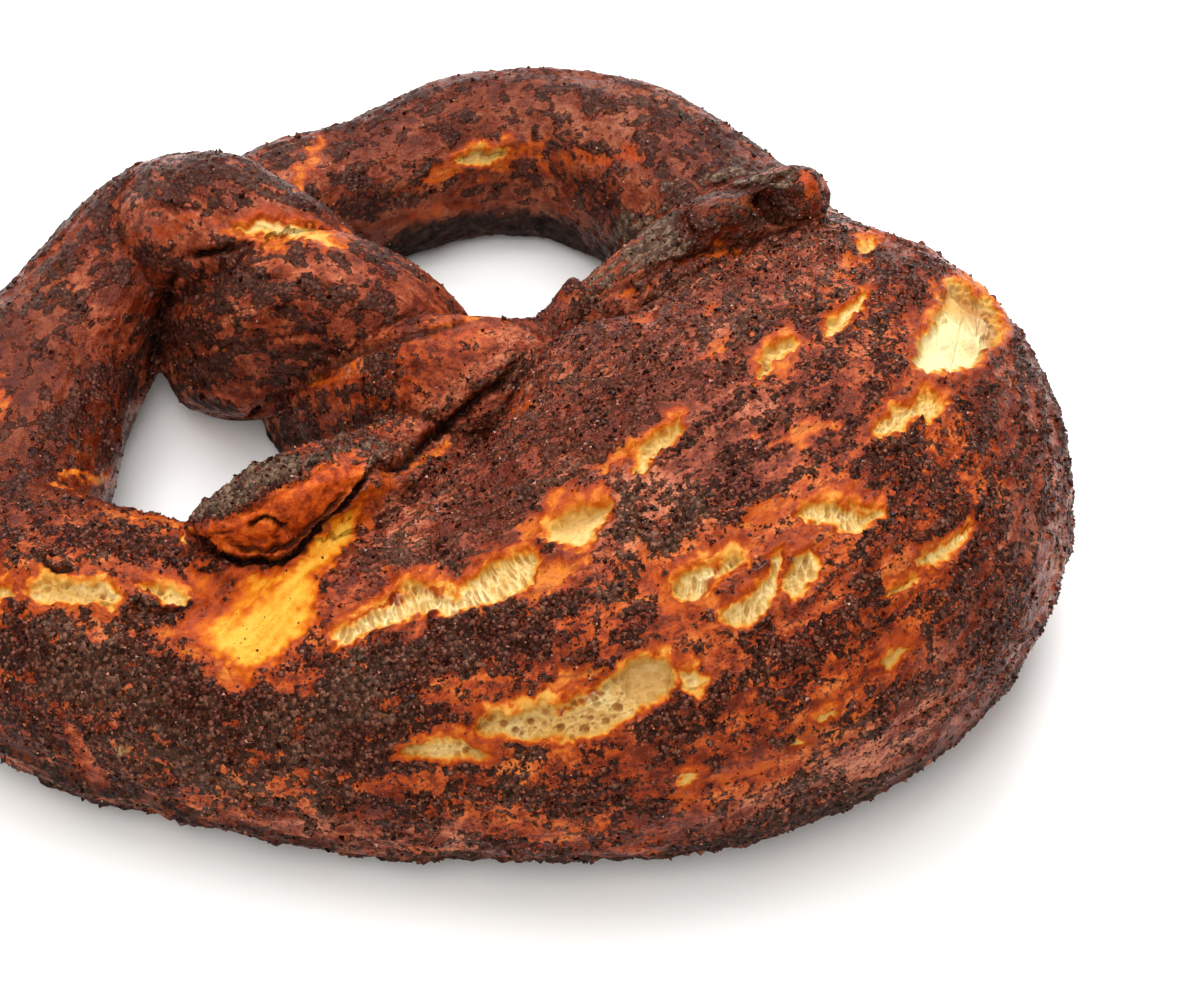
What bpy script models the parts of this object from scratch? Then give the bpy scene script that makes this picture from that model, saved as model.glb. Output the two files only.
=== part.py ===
"""Baked soft pretzel, one solid.

The dough is one rope: left arm tip, one and a half turns of twist, right loop,
fat belly, left loop, twist again, right arm tip. The belly lies toward -Y, the
two loops toward +Y, and +Z is up. The rope is swept as a loft of unlike oval
sections, fused where it crosses itself, and cut flat where it stood to bake.
Sizes are in millimetres here and become metres when the mesh is made.
"""

import math

import bmesh
import bpy
import numpy as np

MM = 0.001

# ---- belly: an egg-shaped arc, thickest to the right of its middle ----
BELLY_CENTRE = (1.2, 18.8)
BELLY_RADIUS_X = 52.8
BELLY_RADIUS_Y = 44.5
BELLY_EGG = 7.5             # the arc is deeper to the right by this much
BELLY_PEAK_DEG = -56.0      # where it is fattest
BELLY_HALF_WIDTH = 35.5
BELLY_HALF_HEIGHT = 22.5
BELLY_SPAN_DEG = (-17.0, -160.0)
BELLY_STATIONS = 8
RIGHT_SHOULDER = (12.0, 12.0, 48.0)   # half width, half height, spread in degrees
LEFT_SHOULDER = (16.0, 15.2, 45.0)

# ---- loops ----
LOOP_CENTRE = (27.0, 40.5)
LOOP_RADIUS = 27.0
LOOP_SPAN_DEG = (108.0, 8.0)
LOOP_STATIONS = 4
LOOP_HALF_WIDTH = (9.6, 12.2)         # from the notch to the outer side
LOOP_AXIS_HEIGHT = (8.6, 10.4)
# x, y, height of the axis, half width, half height
RIGHT_HIP = (54.5, 23.5, 11.2, 14.8, 12.8)
LEFT_LOOP = (
    (-50.0, 19.5, 12.3, 13.8, 12.9),
    (-43.0, 34.0, 11.3, 12.5, 12.2),
    (-33.0, 48.0, 10.8, 11.2, 11.2),
)

# ---- twist: two strands wound one and a half turns about a level axis ----
TWIST_START_Y = 63.0
CROSSING_Y = (49.0, 34.0, 13.0)       # where one strand lies over the other
CROSSING_X = (-6.5, -1.5, 10.5)
STRAND_RADIUS = (9.6, 8.6, 7.9)
TWIST_REACH = 4.9                     # of a strand's axis, sideways
TWIST_RISE = 8.3                      # of a strand's axis, up and down
TWIST_AXIS_HEIGHT = 14.8
TWIST_STEP_DEG = 60.0

# ---- arms, laid on the back of the belly ----
LEFT_ARM = (
    (-30.0, -3.5, 31.0, 3.6, 3.4),
    (-20.0, -5.0, 33.0, 5.4, 5.2),
    (-11.0, -3.0, 29.5, 6.4, 6.2),
    (-2.0, 4.0, 21.0, 7.8, 7.8),
)
RIGHT_ARM = (
    (24.0, 14.5, 21.5, 5.2, 5.0),
    (34.0, 16.5, 26.0, 5.2, 5.0),
    (42.5, 19.0, 28.0, 5.2, 5.0),
    (50.5, 20.0, 29.0, 5.0, 4.8),
    (57.5, 20.0, 29.5, 4.3, 4.1),
)

# ---- surface ----
SECTION_FULLNESS = 2.35     # exponent of the oval section, 2 is an ellipse
PLAN_SHIFT = (-4.8, -9.4)     # puts the origin under the middle of the outline
RING_POINTS = 36
RING_SPACING = 2.0
FUSE_VOXEL = 1.2
SOOTHE_STEPS = 10
KEEP_RATIO = 0.105
FLOOR_CUT = 30.0            # depth of the block that levels the base


def mix(a, b, t):
    return a + (b - a) * t


def belly_rows():
    rows = []
    for deg in np.linspace(*BELLY_SPAN_DEG, BELLY_STATIONS):
        width, height, spread = (
            RIGHT_SHOULDER if deg > BELLY_PEAK_DEG else LEFT_SHOULDER
        )
        swell = math.exp(-(((deg - BELLY_PEAK_DEG) / spread) ** 2))
        half_width = mix(width, BELLY_HALF_WIDTH, swell)
        half_height = mix(height, BELLY_HALF_HEIGHT, swell)
        c, s = math.cos(math.radians(deg)), math.sin(math.radians(deg))
        x = BELLY_CENTRE[0] + BELLY_RADIUS_X * c
        y = BELLY_CENTRE[1] + (BELLY_RADIUS_Y + BELLY_EGG * c) * s
        sink = 0.8 + 2.0 * swell
        rows.append((x, y, half_height - sink, half_width, half_height))
    return rows


def loop_rows():
    rows = []
    for t in np.linspace(0.0, 1.0, LOOP_STATIONS):
        g = math.radians(mix(*LOOP_SPAN_DEG, t))
        half = mix(*LOOP_HALF_WIDTH, t)
        rows.append(
            (
                LOOP_CENTRE[0] + LOOP_RADIUS * math.cos(g),
                LOOP_CENTRE[1] + LOOP_RADIUS * math.sin(g),
                mix(*LOOP_AXIS_HEIGHT, t),
                half,
                half * 0.96,
            )
        )
    return rows


def twist_rows(half_turn):
    """One strand from the notch down to the belly; half_turn is 0 or 1."""
    turns = (-180.0, -90.0, 90.0, 270.0)
    ys = (TWIST_START_Y,) + CROSSING_Y
    rows = []
    for k in range(8):
        phase = 150.0 - TWIST_STEP_DEG * k
        y = float(np.interp(-phase, turns, ys))
        x = float(np.interp(y, CROSSING_Y[::-1], CROSSING_X[::-1]))
        r = float(np.interp(y, CROSSING_Y[::-1], STRAND_RADIUS[::-1]))
        g = math.radians(phase + 180.0 * half_turn)
        rows.append(
            (
                x + TWIST_REACH * math.cos(g),
                y,
                TWIST_AXIS_HEIGHT + TWIST_RISE * math.sin(g),
                r,
                r,
            )
        )
    return rows


def rope_rows():
    up_strand = twist_rows(1)[::-1][1:]
    rows = list(LEFT_ARM) + up_strand + loop_rows() + [RIGHT_HIP]
    rows += belly_rows() + list(LEFT_LOOP) + twist_rows(0) + list(RIGHT_ARM)
    rows = np.array(rows, dtype=float)
    rows[:, 0] += PLAN_SHIFT[0]
    rows[:, 1] += PLAN_SHIFT[1]
    return rows


def natural_spline(knots, values, at):
    """Natural cubic spline through values (rows) at knots, and its slope."""
    n = len(knots)
    h = np.diff(knots)
    a = np.zeros((n, n))
    rhs = np.zeros_like(values)
    a[0, 0] = a[-1, -1] = 1.0
    for i in range(1, n - 1):
        a[i, i - 1 : i + 2] = (h[i - 1], 2 * (h[i - 1] + h[i]), h[i])
        rhs[i] = 6 * (
            (values[i + 1] - values[i]) / h[i] - (values[i] - values[i - 1]) / h[i - 1]
        )
    m = np.linalg.solve(a, rhs)
    i = np.clip(np.searchsorted(knots, at, side="right") - 1, 0, n - 2)
    t = (at - knots[i])[:, None]
    w = h[i][:, None]
    slope0 = (values[i + 1] - values[i]) / w - w * (2 * m[i] + m[i + 1]) / 6
    curve = values[i] + slope0 * t + m[i] / 2 * t**2 + (m[i + 1] - m[i]) / (6 * w) * t**3
    slope = slope0 + m[i] * t + (m[i + 1] - m[i]) / (2 * w) * t**2
    return curve, slope


def rope_rings():
    rows = rope_rows()
    knots = np.r_[0.0, np.cumsum(np.linalg.norm(np.diff(rows[:, :3], axis=0), axis=1))]
    count = int(round(knots[-1] / RING_SPACING)) + 1
    at = np.linspace(0.0, knots[-1], count)
    curve, slope = natural_spline(knots, rows, at)
    angles = np.linspace(0.0, 2 * math.pi, RING_POINTS, endpoint=False)
    e = 2.0 / SECTION_FULLNESS
    cx = np.sign(np.cos(angles)) * np.abs(np.cos(angles)) ** e
    cz = np.sign(np.sin(angles)) * np.abs(np.sin(angles)) ** e
    rings = []
    for p, d in zip(curve, slope):
        tangent = d[:3] / np.linalg.norm(d[:3])
        side = np.array((-tangent[1], tangent[0], 0.0))
        side /= np.linalg.norm(side)
        up = np.cross(tangent, side)
        rings.append(
            p[:3] + np.outer(cx * p[3], side) + np.outer(cz * p[4], up)
        )
    first = dome(rings[0], curve[0], -slope[0])
    last = dome(rings[-1], curve[-1], slope[-1])
    return first[::-1] + rings + last


def dome(ring, row, outward):
    """Shrinking rings that round off an end of the rope."""
    outward = outward[:3] / np.linalg.norm(outward[:3])
    reach = min(row[3], row[4])
    out = []
    for deg in (30.0, 55.0, 75.0):
        g = math.radians(deg)
        centre = row[:3] + outward * reach * math.sin(g)
        out.append(centre + (ring - row[:3]) * math.cos(g))
    return out


def make_rope(name):
    rings = rope_rings()
    bm = bmesh.new()
    loops = [[bm.verts.new(p * MM) for p in ring] for ring in rings]
    for a, b in zip(loops[:-1], loops[1:]):
        for i in range(RING_POINTS):
            j = (i + 1) % RING_POINTS
            bm.faces.new((a[i], a[j], b[j], b[i]))
    bm.faces.new(loops[0][::-1])
    bm.faces.new(loops[-1])
    bmesh.ops.recalc_face_normals(bm, faces=bm.faces[:])
    mesh = bpy.data.meshes.new(name)
    bm.to_mesh(mesh)
    bm.free()
    return bpy.data.objects.new(name, mesh)


def collection(name):
    made = bpy.data.collections.new(name)
    bpy.context.scene.collection.children.link(made)
    return made


def main():
    for obj in list(bpy.data.objects):
        bpy.data.objects.remove(obj, do_unlink=True)
    parts = collection("cinnamon_sugar_pretzel")
    cutters = collection("cutters")

    pretzel = make_rope("pretzel")
    parts.objects.link(pretzel)

    crust = bpy.data.materials.new("browned_crust")
    crust.use_nodes = True
    bsdf = crust.node_tree.nodes["Principled BSDF"]
    bsdf.inputs["Base Color"].default_value = (0.30, 0.085, 0.030, 1.0)
    bsdf.inputs["Roughness"].default_value = 0.45
    bsdf.inputs["Metallic"].default_value = 0.0
    pretzel.data.materials.append(crust)

    fuse = pretzel.modifiers.new("fuse the crossings", "REMESH")
    fuse.mode = "VOXEL"
    fuse.voxel_size = FUSE_VOXEL * MM
    fuse.adaptivity = 0.0
    soothe = pretzel.modifiers.new("soothe", "SMOOTH")
    soothe.factor = 0.5
    soothe.iterations = SOOTHE_STEPS
    thin = pretzel.modifiers.new("thin out", "DECIMATE")
    thin.ratio = KEEP_RATIO
    thin.use_collapse_triangulate = True

    bpy.ops.mesh.primitive_cube_add(size=1.0)
    block = bpy.context.object
    block.name = "base_block"
    block.scale = (0.4, 0.4, FLOOR_CUT * MM)
    block.location = (0.0, 0.0, -0.5 * FLOOR_CUT * MM)
    for owner in list(block.users_collection):
        owner.objects.unlink(block)
    cutters.objects.link(block)
    block.hide_render = True
    block.display_type = "WIRE"

    level = pretzel.modifiers.new("flat base", "BOOLEAN")
    level.operation = "DIFFERENCE"
    level.solver = "EXACT"
    level.object = block
    pretzel.data.shade_smooth()


main()
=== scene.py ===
"""Looks of the cinnamon sugar pretzel.

The crust is one fine mesh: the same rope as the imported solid, swept with smaller
steps, fused where it crosses itself, then worked by code. Tears with crumb inside,
stretched bare dough, crevices, lumps and the dark sugar crust are moved geometry,
and loose grains of dark crumbs and sugar lie on top of it as their own pieces.
Lengths are in millimetres until a mesh is written. Places that the picture shows
are given in the picture's own frame, 1200 wide and 1008 high, and land on the
surface that the camera sees there.
"""

import math

import bpy
import numpy as np
from mathutils import Matrix, Vector, kdtree
from mathutils.bvhtree import BVHTree


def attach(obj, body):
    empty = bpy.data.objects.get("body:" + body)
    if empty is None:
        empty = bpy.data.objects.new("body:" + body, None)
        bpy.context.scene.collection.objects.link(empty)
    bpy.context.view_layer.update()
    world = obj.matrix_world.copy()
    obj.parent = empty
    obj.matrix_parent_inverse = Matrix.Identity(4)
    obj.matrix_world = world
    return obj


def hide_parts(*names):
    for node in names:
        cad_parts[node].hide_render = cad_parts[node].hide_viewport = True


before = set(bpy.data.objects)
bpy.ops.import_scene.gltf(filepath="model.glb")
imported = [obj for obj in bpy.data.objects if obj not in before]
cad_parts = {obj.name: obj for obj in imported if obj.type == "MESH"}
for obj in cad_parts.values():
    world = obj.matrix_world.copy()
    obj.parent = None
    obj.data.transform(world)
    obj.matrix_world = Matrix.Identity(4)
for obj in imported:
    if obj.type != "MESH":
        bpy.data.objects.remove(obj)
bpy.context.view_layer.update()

MM = 0.001
SEED = 41

# ---------------------------------------------------------------- camera ----
VIEW_W, VIEW_H = 1200.0, 1008.0
CAM_AZIMUTH, CAM_ELEVATION = -25.595, 45.739
CAM_DISTANCE = 566.74
CAM_TARGET = np.array((20.16, -1.07, 0.0))
CAM_FOCAL_PX = 4500.5


def camera_axes():
    p, q = math.radians(CAM_AZIMUTH), math.radians(CAM_ELEVATION)
    back = np.array(
        (math.sin(p) * math.cos(q), -math.cos(p) * math.cos(q), math.sin(q))
    )
    right = np.cross((0.0, 0.0, 1.0), back)
    right /= np.linalg.norm(right)
    return right, np.cross(back, right), back


CAM_RIGHT, CAM_UP, CAM_BACK = camera_axes()
CAM_PLACE = CAM_TARGET + CAM_BACK * CAM_DISTANCE


def to_picture(p):
    d = p - CAM_PLACE
    depth = -(d @ CAM_BACK)
    x = VIEW_W / 2 + CAM_FOCAL_PX * (d @ CAM_RIGHT) / depth
    y = VIEW_H / 2 - CAM_FOCAL_PX * (d @ CAM_UP) / depth
    return np.column_stack((x, y))


def picture_ray(x, y):
    d = (
        -CAM_BACK
        + CAM_RIGHT * ((x - VIEW_W / 2) / CAM_FOCAL_PX)
        - CAM_UP * ((y - VIEW_H / 2) / CAM_FOCAL_PX)
    )
    return d / np.linalg.norm(d)


# ------------------------------------------------------ rope, as packed ----
BELLY_CENTRE = (1.2, 18.8)
BELLY_RADIUS_X = 52.8
BELLY_RADIUS_Y = 44.5
BELLY_EGG = 7.5
BELLY_PEAK_DEG = -56.0
BELLY_HALF_WIDTH = 35.5
BELLY_HALF_HEIGHT = 22.5
BELLY_SPAN_DEG = (-17.0, -160.0)
BELLY_STATIONS = 8
RIGHT_SHOULDER = (12.0, 12.0, 48.0)
LEFT_SHOULDER = (16.0, 15.2, 45.0)

LOOP_CENTRE = (27.0, 40.5)
LOOP_RADIUS = 27.0
LOOP_SPAN_DEG = (108.0, 8.0)
LOOP_STATIONS = 4
LOOP_HALF_WIDTH = (9.6, 12.2)
LOOP_AXIS_HEIGHT = (8.6, 10.4)
RIGHT_HIP = (54.5, 23.5, 11.2, 14.8, 12.8)
LEFT_LOOP = (
    (-50.0, 19.5, 12.3, 13.8, 12.9),
    (-43.0, 34.0, 11.3, 12.5, 12.2),
    (-33.0, 48.0, 10.8, 11.2, 11.2),
)

TWIST_START_Y = 63.0
CROSSING_Y = (49.0, 34.0, 13.0)
CROSSING_X = (-6.5, -1.5, 10.5)
STRAND_RADIUS = (9.6, 8.6, 7.9)
TWIST_REACH = 4.9
TWIST_RISE = 8.3
TWIST_AXIS_HEIGHT = 14.8
TWIST_STEP_DEG = 60.0

LEFT_ARM = (
    (-30.0, -3.5, 31.0, 3.6, 3.4),
    (-20.0, -5.0, 33.0, 5.4, 5.2),
    (-11.0, -3.0, 29.5, 6.4, 6.2),
    (-2.0, 4.0, 21.0, 7.8, 7.8),
)
RIGHT_ARM = (
    (24.0, 14.5, 21.5, 5.2, 5.0),
    (34.0, 16.5, 26.0, 5.2, 5.0),
    (42.5, 19.0, 28.0, 5.2, 5.0),
    (50.5, 20.0, 29.0, 5.0, 4.8),
    (57.5, 20.0, 29.5, 4.3, 4.1),
)

SECTION_FULLNESS = 2.35
PLAN_SHIFT = (-4.8, -9.4)
RING_POINTS = 72
RING_SPACING = 1.0
SKIN_VOXEL = 0.62
SOOTHE_STEPS = 8

# rows of the rope, by number, for naming its stretches
ROW_LEFT_ARM_ROOT = 4
ROW_LOOP = 11
ROW_HIP = 15
ROW_BELLY = (16, 23)
ROW_LEFT_LOOP = (24, 26)
ROW_RIGHT_ARM = 35


def mix(a, b, t):
    return a + (b - a) * t


def belly_rows():
    rows = []
    for deg in np.linspace(*BELLY_SPAN_DEG, BELLY_STATIONS):
        width, height, spread = (
            RIGHT_SHOULDER if deg > BELLY_PEAK_DEG else LEFT_SHOULDER
        )
        swell = math.exp(-(((deg - BELLY_PEAK_DEG) / spread) ** 2))
        half_width = mix(width, BELLY_HALF_WIDTH, swell)
        half_height = mix(height, BELLY_HALF_HEIGHT, swell)
        c, s = math.cos(math.radians(deg)), math.sin(math.radians(deg))
        x = BELLY_CENTRE[0] + BELLY_RADIUS_X * c
        y = BELLY_CENTRE[1] + (BELLY_RADIUS_Y + BELLY_EGG * c) * s
        sink = 0.8 + 2.0 * swell
        rows.append((x, y, half_height - sink, half_width, half_height))
    return rows


def loop_rows():
    rows = []
    for t in np.linspace(0.0, 1.0, LOOP_STATIONS):
        g = math.radians(mix(*LOOP_SPAN_DEG, t))
        half = mix(*LOOP_HALF_WIDTH, t)
        rows.append(
            (
                LOOP_CENTRE[0] + LOOP_RADIUS * math.cos(g),
                LOOP_CENTRE[1] + LOOP_RADIUS * math.sin(g),
                mix(*LOOP_AXIS_HEIGHT, t),
                half,
                half * 0.96,
            )
        )
    return rows


def twist_rows(half_turn):
    turns = (-180.0, -90.0, 90.0, 270.0)
    ys = (TWIST_START_Y,) + CROSSING_Y
    rows = []
    for k in range(8):
        phase = 150.0 - TWIST_STEP_DEG * k
        y = float(np.interp(-phase, turns, ys))
        x = float(np.interp(y, CROSSING_Y[::-1], CROSSING_X[::-1]))
        r = float(np.interp(y, CROSSING_Y[::-1], STRAND_RADIUS[::-1]))
        g = math.radians(phase + 180.0 * half_turn)
        rows.append(
            (
                x + TWIST_REACH * math.cos(g),
                y,
                TWIST_AXIS_HEIGHT + TWIST_RISE * math.sin(g),
                r,
                r,
            )
        )
    return rows


def rope_rows():
    up_strand = twist_rows(1)[::-1][1:]
    rows = list(LEFT_ARM) + up_strand + loop_rows() + [RIGHT_HIP]
    rows += belly_rows() + list(LEFT_LOOP) + twist_rows(0) + list(RIGHT_ARM)
    rows = np.array(rows, dtype=float)
    rows[:, 0] += PLAN_SHIFT[0]
    rows[:, 1] += PLAN_SHIFT[1]
    return rows


def natural_spline(knots, values, at):
    n = len(knots)
    h = np.diff(knots)
    a = np.zeros((n, n))
    rhs = np.zeros_like(values)
    a[0, 0] = a[-1, -1] = 1.0
    for i in range(1, n - 1):
        a[i, i - 1 : i + 2] = (h[i - 1], 2 * (h[i - 1] + h[i]), h[i])
        rhs[i] = 6 * (
            (values[i + 1] - values[i]) / h[i] - (values[i] - values[i - 1]) / h[i - 1]
        )
    m = np.linalg.solve(a, rhs)
    i = np.clip(np.searchsorted(knots, at, side="right") - 1, 0, n - 2)
    t = (at - knots[i])[:, None]
    w = h[i][:, None]
    slope0 = (values[i + 1] - values[i]) / w - w * (2 * m[i] + m[i + 1]) / 6
    curve = values[i] + slope0 * t + m[i] / 2 * t**2 + (m[i + 1] - m[i]) / (6 * w) * t**3
    slope = slope0 + m[i] * t + (m[i + 1] - m[i]) / (2 * w) * t**2
    return curve, slope


class Rope:
    """The swept dough: its axis, its sections and the rings of its surface."""

    def __init__(self):
        rows = rope_rows()
        self.knots = np.r_[
            0.0, np.cumsum(np.linalg.norm(np.diff(rows[:, :3], axis=0), axis=1))
        ]
        count = int(round(self.knots[-1] / RING_SPACING)) + 1
        self.at = np.linspace(0.0, self.knots[-1], count)
        self.curve, slope = natural_spline(self.knots, rows, self.at)
        t = slope[:, :3] / np.linalg.norm(slope[:, :3], axis=1)[:, None]
        side = np.column_stack((-t[:, 1], t[:, 0], np.zeros(count)))
        side /= np.linalg.norm(side, axis=1)[:, None]
        self.tangent, self.side, self.up = t, side, np.cross(t, side)
        angles = np.linspace(0.0, 2 * math.pi, RING_POINTS, endpoint=False)
        e = 2.0 / SECTION_FULLNESS
        cx = np.sign(np.cos(angles)) * np.abs(np.cos(angles)) ** e
        cz = np.sign(np.sin(angles)) * np.abs(np.sin(angles)) ** e
        self.rings = (
            self.curve[:, None, :3]
            + (self.curve[:, 3, None] * cx)[:, :, None] * side[:, None]
            + (self.curve[:, 4, None] * cz)[:, :, None] * self.up[:, None]
        )

    def cap(self, i, outward):
        reach = min(self.curve[i, 3], self.curve[i, 4])
        out = []
        for deg in (20.0, 40.0, 58.0, 75.0):
            g = math.radians(deg)
            centre = self.curve[i, :3] + outward * reach * math.sin(g)
            out.append(centre + (self.rings[i] - self.curve[i, :3]) * math.cos(g))
        return out

    def mesh(self):
        first = self.cap(0, -self.tangent[0])
        last = self.cap(-1, self.tangent[-1])
        rings = np.array(first[::-1] + list(self.rings) + last)
        n, m = rings.shape[:2]
        i, j = np.meshgrid(np.arange(n - 1), np.arange(m), indexing="ij")
        k = (j + 1) % m
        quads = np.stack((i * m + j, i * m + k, (i + 1) * m + k, (i + 1) * m + j), -1)
        faces = [tuple(q) for q in quads.reshape(-1, 4).tolist()]
        faces.append(tuple(range(m))[::-1])
        faces.append(tuple((n - 1) * m + q for q in range(m)))
        return rings.reshape(-1, 3), faces


# ------------------------------------------------------------- noise ----
def lattice(ix, iy, iz, seed):
    """A fixed pseudo-random number, 0 to 1, for each point of a whole-number lattice."""
    h = (ix * 374761393 + iy * 668265263 + iz * 1442695041 + seed * 97531357) & 0xFFFFFFFF
    h = ((h ^ (h >> 13)) * 1274126177) & 0xFFFFFFFF
    h = ((h ^ (h >> 15)) * 2246822519) & 0xFFFFFFFF
    return (h ^ (h >> 16)) / 4294967295.0


def noise(p, size, seed=0, octaves=1, gain=0.5):
    """Smooth lumps about size wide, from about -1 to 1."""
    total, amp, norm = np.zeros(len(p)), 1.0, 0.0
    q0 = p / np.asarray(size, float)
    for k in range(octaves):
        q = q0 * 2.03**k + 31.7 * k
        i = np.floor(q).astype(np.int64)
        f = q - i
        f = f * f * f * (f * (f * 6 - 15) + 10)
        v = np.zeros(len(p))
        for dx in (0, 1):
            wx = f[:, 0] if dx else 1 - f[:, 0]
            for dy in (0, 1):
                wy = f[:, 1] if dy else 1 - f[:, 1]
                for dz in (0, 1):
                    wz = f[:, 2] if dz else 1 - f[:, 2]
                    v += wx * wy * wz * lattice(
                        i[:, 0] + dx, i[:, 1] + dy, i[:, 2] + dz, seed + 7 * k
                    )
        total += amp * (v * 2 - 1)
        norm += amp
        amp *= gain
    return total / norm * 1.6


def cells(p, size, seed=0):
    """Distances to the nearest two of points scattered about size apart, over size."""
    q = p / np.asarray(size, float)
    base = np.floor(q).astype(np.int64)
    d1 = np.full(len(p), 9.0)
    d2 = np.full(len(p), 9.0)
    for dx in (-1, 0, 1):
        for dy in (-1, 0, 1):
            for dz in (-1, 0, 1):
                c = base + (dx, dy, dz)
                j = np.column_stack(
                    [lattice(c[:, 0], c[:, 1], c[:, 2], seed + 101 * a) for a in range(3)]
                )
                d = np.linalg.norm(c + j - q, axis=1)
                closer = d < d1
                d2 = np.where(closer, d1, np.minimum(d2, d))
                d1 = np.where(closer, d, d1)
    return d1, d2


def ease(a, b, x):
    t = np.clip((x - a) / (b - a), 0.0, 1.0)
    return t * t * (3 - 2 * t)


# ----------------------------------------------------- mesh in numpy ----
def triangles_of(obj):
    dg = bpy.context.evaluated_depsgraph_get()
    mesh = bpy.data.meshes.new_from_object(obj.evaluated_get(dg))
    v = np.zeros(len(mesh.vertices) * 3, np.float32)
    mesh.vertices.foreach_get("co", v)
    mesh.calc_loop_triangles()
    f = np.zeros(len(mesh.loop_triangles) * 3, np.int32)
    mesh.loop_triangles.foreach_get("vertices", f)
    bpy.data.meshes.remove(mesh)
    return v.reshape(-1, 3).astype(float) / MM, f.reshape(-1, 3).astype(np.int64)


def normals_of(v, f):
    n = np.cross(v[f[:, 1]] - v[f[:, 0]], v[f[:, 2]] - v[f[:, 0]])
    out = np.zeros_like(v)
    for k in range(3):
        for c in range(3):
            out[:, c] += np.bincount(f[:, k], n[:, c], len(v))
    return out / np.maximum(np.linalg.norm(out, axis=1), 1e-12)[:, None]


def edges_of(f):
    e = np.sort(np.concatenate((f[:, :2], f[:, 1:], f[:, ::2])), axis=1)
    key = np.unique(e[:, 0] * (f.max() + 1) + e[:, 1])
    return key // (f.max() + 1), key % (f.max() + 1)


def relax(values, f, steps):
    """Values averaged with their neighbours along the mesh's edges, a few times."""
    a, b = edges_of(f)
    n = len(values)
    count = np.bincount(a, minlength=n) + np.bincount(b, minlength=n)
    many = values.reshape(n, -1).copy()
    for _ in range(steps):
        s = np.column_stack(
            [
                np.bincount(a, many[b, c], n) + np.bincount(b, many[a, c], n)
                for c in range(many.shape[1])
            ]
        )
        many = 0.5 * many + 0.5 * s / np.maximum(count, 1)[:, None]
    return many.reshape(values.shape)


def refine(data, f, flag):
    """Halves each edge whose two ends are flagged. data holds one row for each vertex."""
    n = len(data)
    e = np.concatenate((f[:, [0, 1]], f[:, [1, 2]], f[:, [2, 0]]))
    e.sort(axis=1)
    key, inverse = np.unique(e[:, 0] * n + e[:, 1], return_inverse=True)
    a, b = key // n, key % n
    split = flag[a] & flag[b]
    middle = np.full(len(key), -1)
    middle[split] = n + np.arange(split.sum())
    data = np.concatenate((data, (data[a[split]] + data[b[split]]) / 2))
    m = middle[inverse.ravel()].reshape(3, -1).T
    count = (m >= 0).sum(1)
    whole = f[count == 0]
    g, mm = f[count == 3], m[count == 3]
    four = np.concatenate(
        (
            np.column_stack((g[:, 0], mm[:, 0], mm[:, 2])),
            np.column_stack((mm[:, 0], g[:, 1], mm[:, 1])),
            np.column_stack((mm[:, 2], mm[:, 1], g[:, 2])),
            mm,
        )
    )
    g, mm = f[count == 1], m[count == 1]
    k = np.argmax(mm >= 0, axis=1)
    r = np.arange(len(g))
    p, q, o, c = g[r, k], g[r, (k + 1) % 3], g[r, (k + 2) % 3], mm[r, k]
    two = np.concatenate((np.column_stack((p, c, o)), np.column_stack((c, q, o))))
    return data, np.concatenate((whole, four, two))


def write_mesh(name, v, f, attributes, smooth=True):
    mesh = bpy.data.meshes.new(name)
    mesh.vertices.add(len(v))
    mesh.vertices.foreach_set("co", (v * MM).astype(np.float32).ravel())
    mesh.loops.add(len(f) * 3)
    mesh.loops.foreach_set("vertex_index", f.astype(np.int32).ravel())
    mesh.polygons.add(len(f))
    mesh.polygons.foreach_set("loop_start", np.arange(0, len(f) * 3, 3, dtype=np.int32))
    mesh.update(calc_edges=True)
    mesh.validate()
    if smooth:
        mesh.shade_smooth()
    else:
        mesh.shade_flat()
    for key, values in attributes.items():
        values = np.asarray(values, np.float32)
        if values.ndim == 2:
            a = mesh.attributes.new(key, "FLOAT_VECTOR", "POINT")
            a.data.foreach_set("vector", values.ravel())
        else:
            a = mesh.attributes.new(key, "FLOAT", "POINT")
            a.data.foreach_set("value", values)
    obj = bpy.data.objects.new(name, mesh)
    bpy.context.scene.collection.objects.link(obj)
    return obj


# --------------------------------------------- outlines in the picture ----
def outline_distance(xy, outline):
    """Signed distance to a closed outline, positive inside, in the picture's units."""
    p = np.asarray(outline, float)
    q = np.roll(p, -1, axis=0)
    best = np.full(len(xy), 1e9)
    inside = np.zeros(len(xy), bool)
    for a, b in zip(p, q):
        d = b - a
        t = np.clip(((xy - a) @ d) / max(d @ d, 1e-9), 0, 1)
        best = np.minimum(best, np.linalg.norm(xy - a - t[:, None] * d, axis=1))
        cross = (a[1] > xy[:, 1]) != (b[1] > xy[:, 1])
        slope = d[0] / d[1] if abs(d[1]) > 1e-9 else 0.0
        inside ^= cross & (xy[:, 0] < a[0] + (xy[:, 1] - a[1]) * slope)
    return np.where(inside, best, -best)


def line_distance(xy, a, b):
    """Distance to a straight stroke and the share of the way along it."""
    a, b = np.asarray(a, float), np.asarray(b, float)
    d = b - a
    t = np.clip(((xy - a) @ d) / max(d @ d, 1e-9), 0, 1)
    return np.linalg.norm(xy - a - t[:, None] * d, axis=1), t


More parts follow.
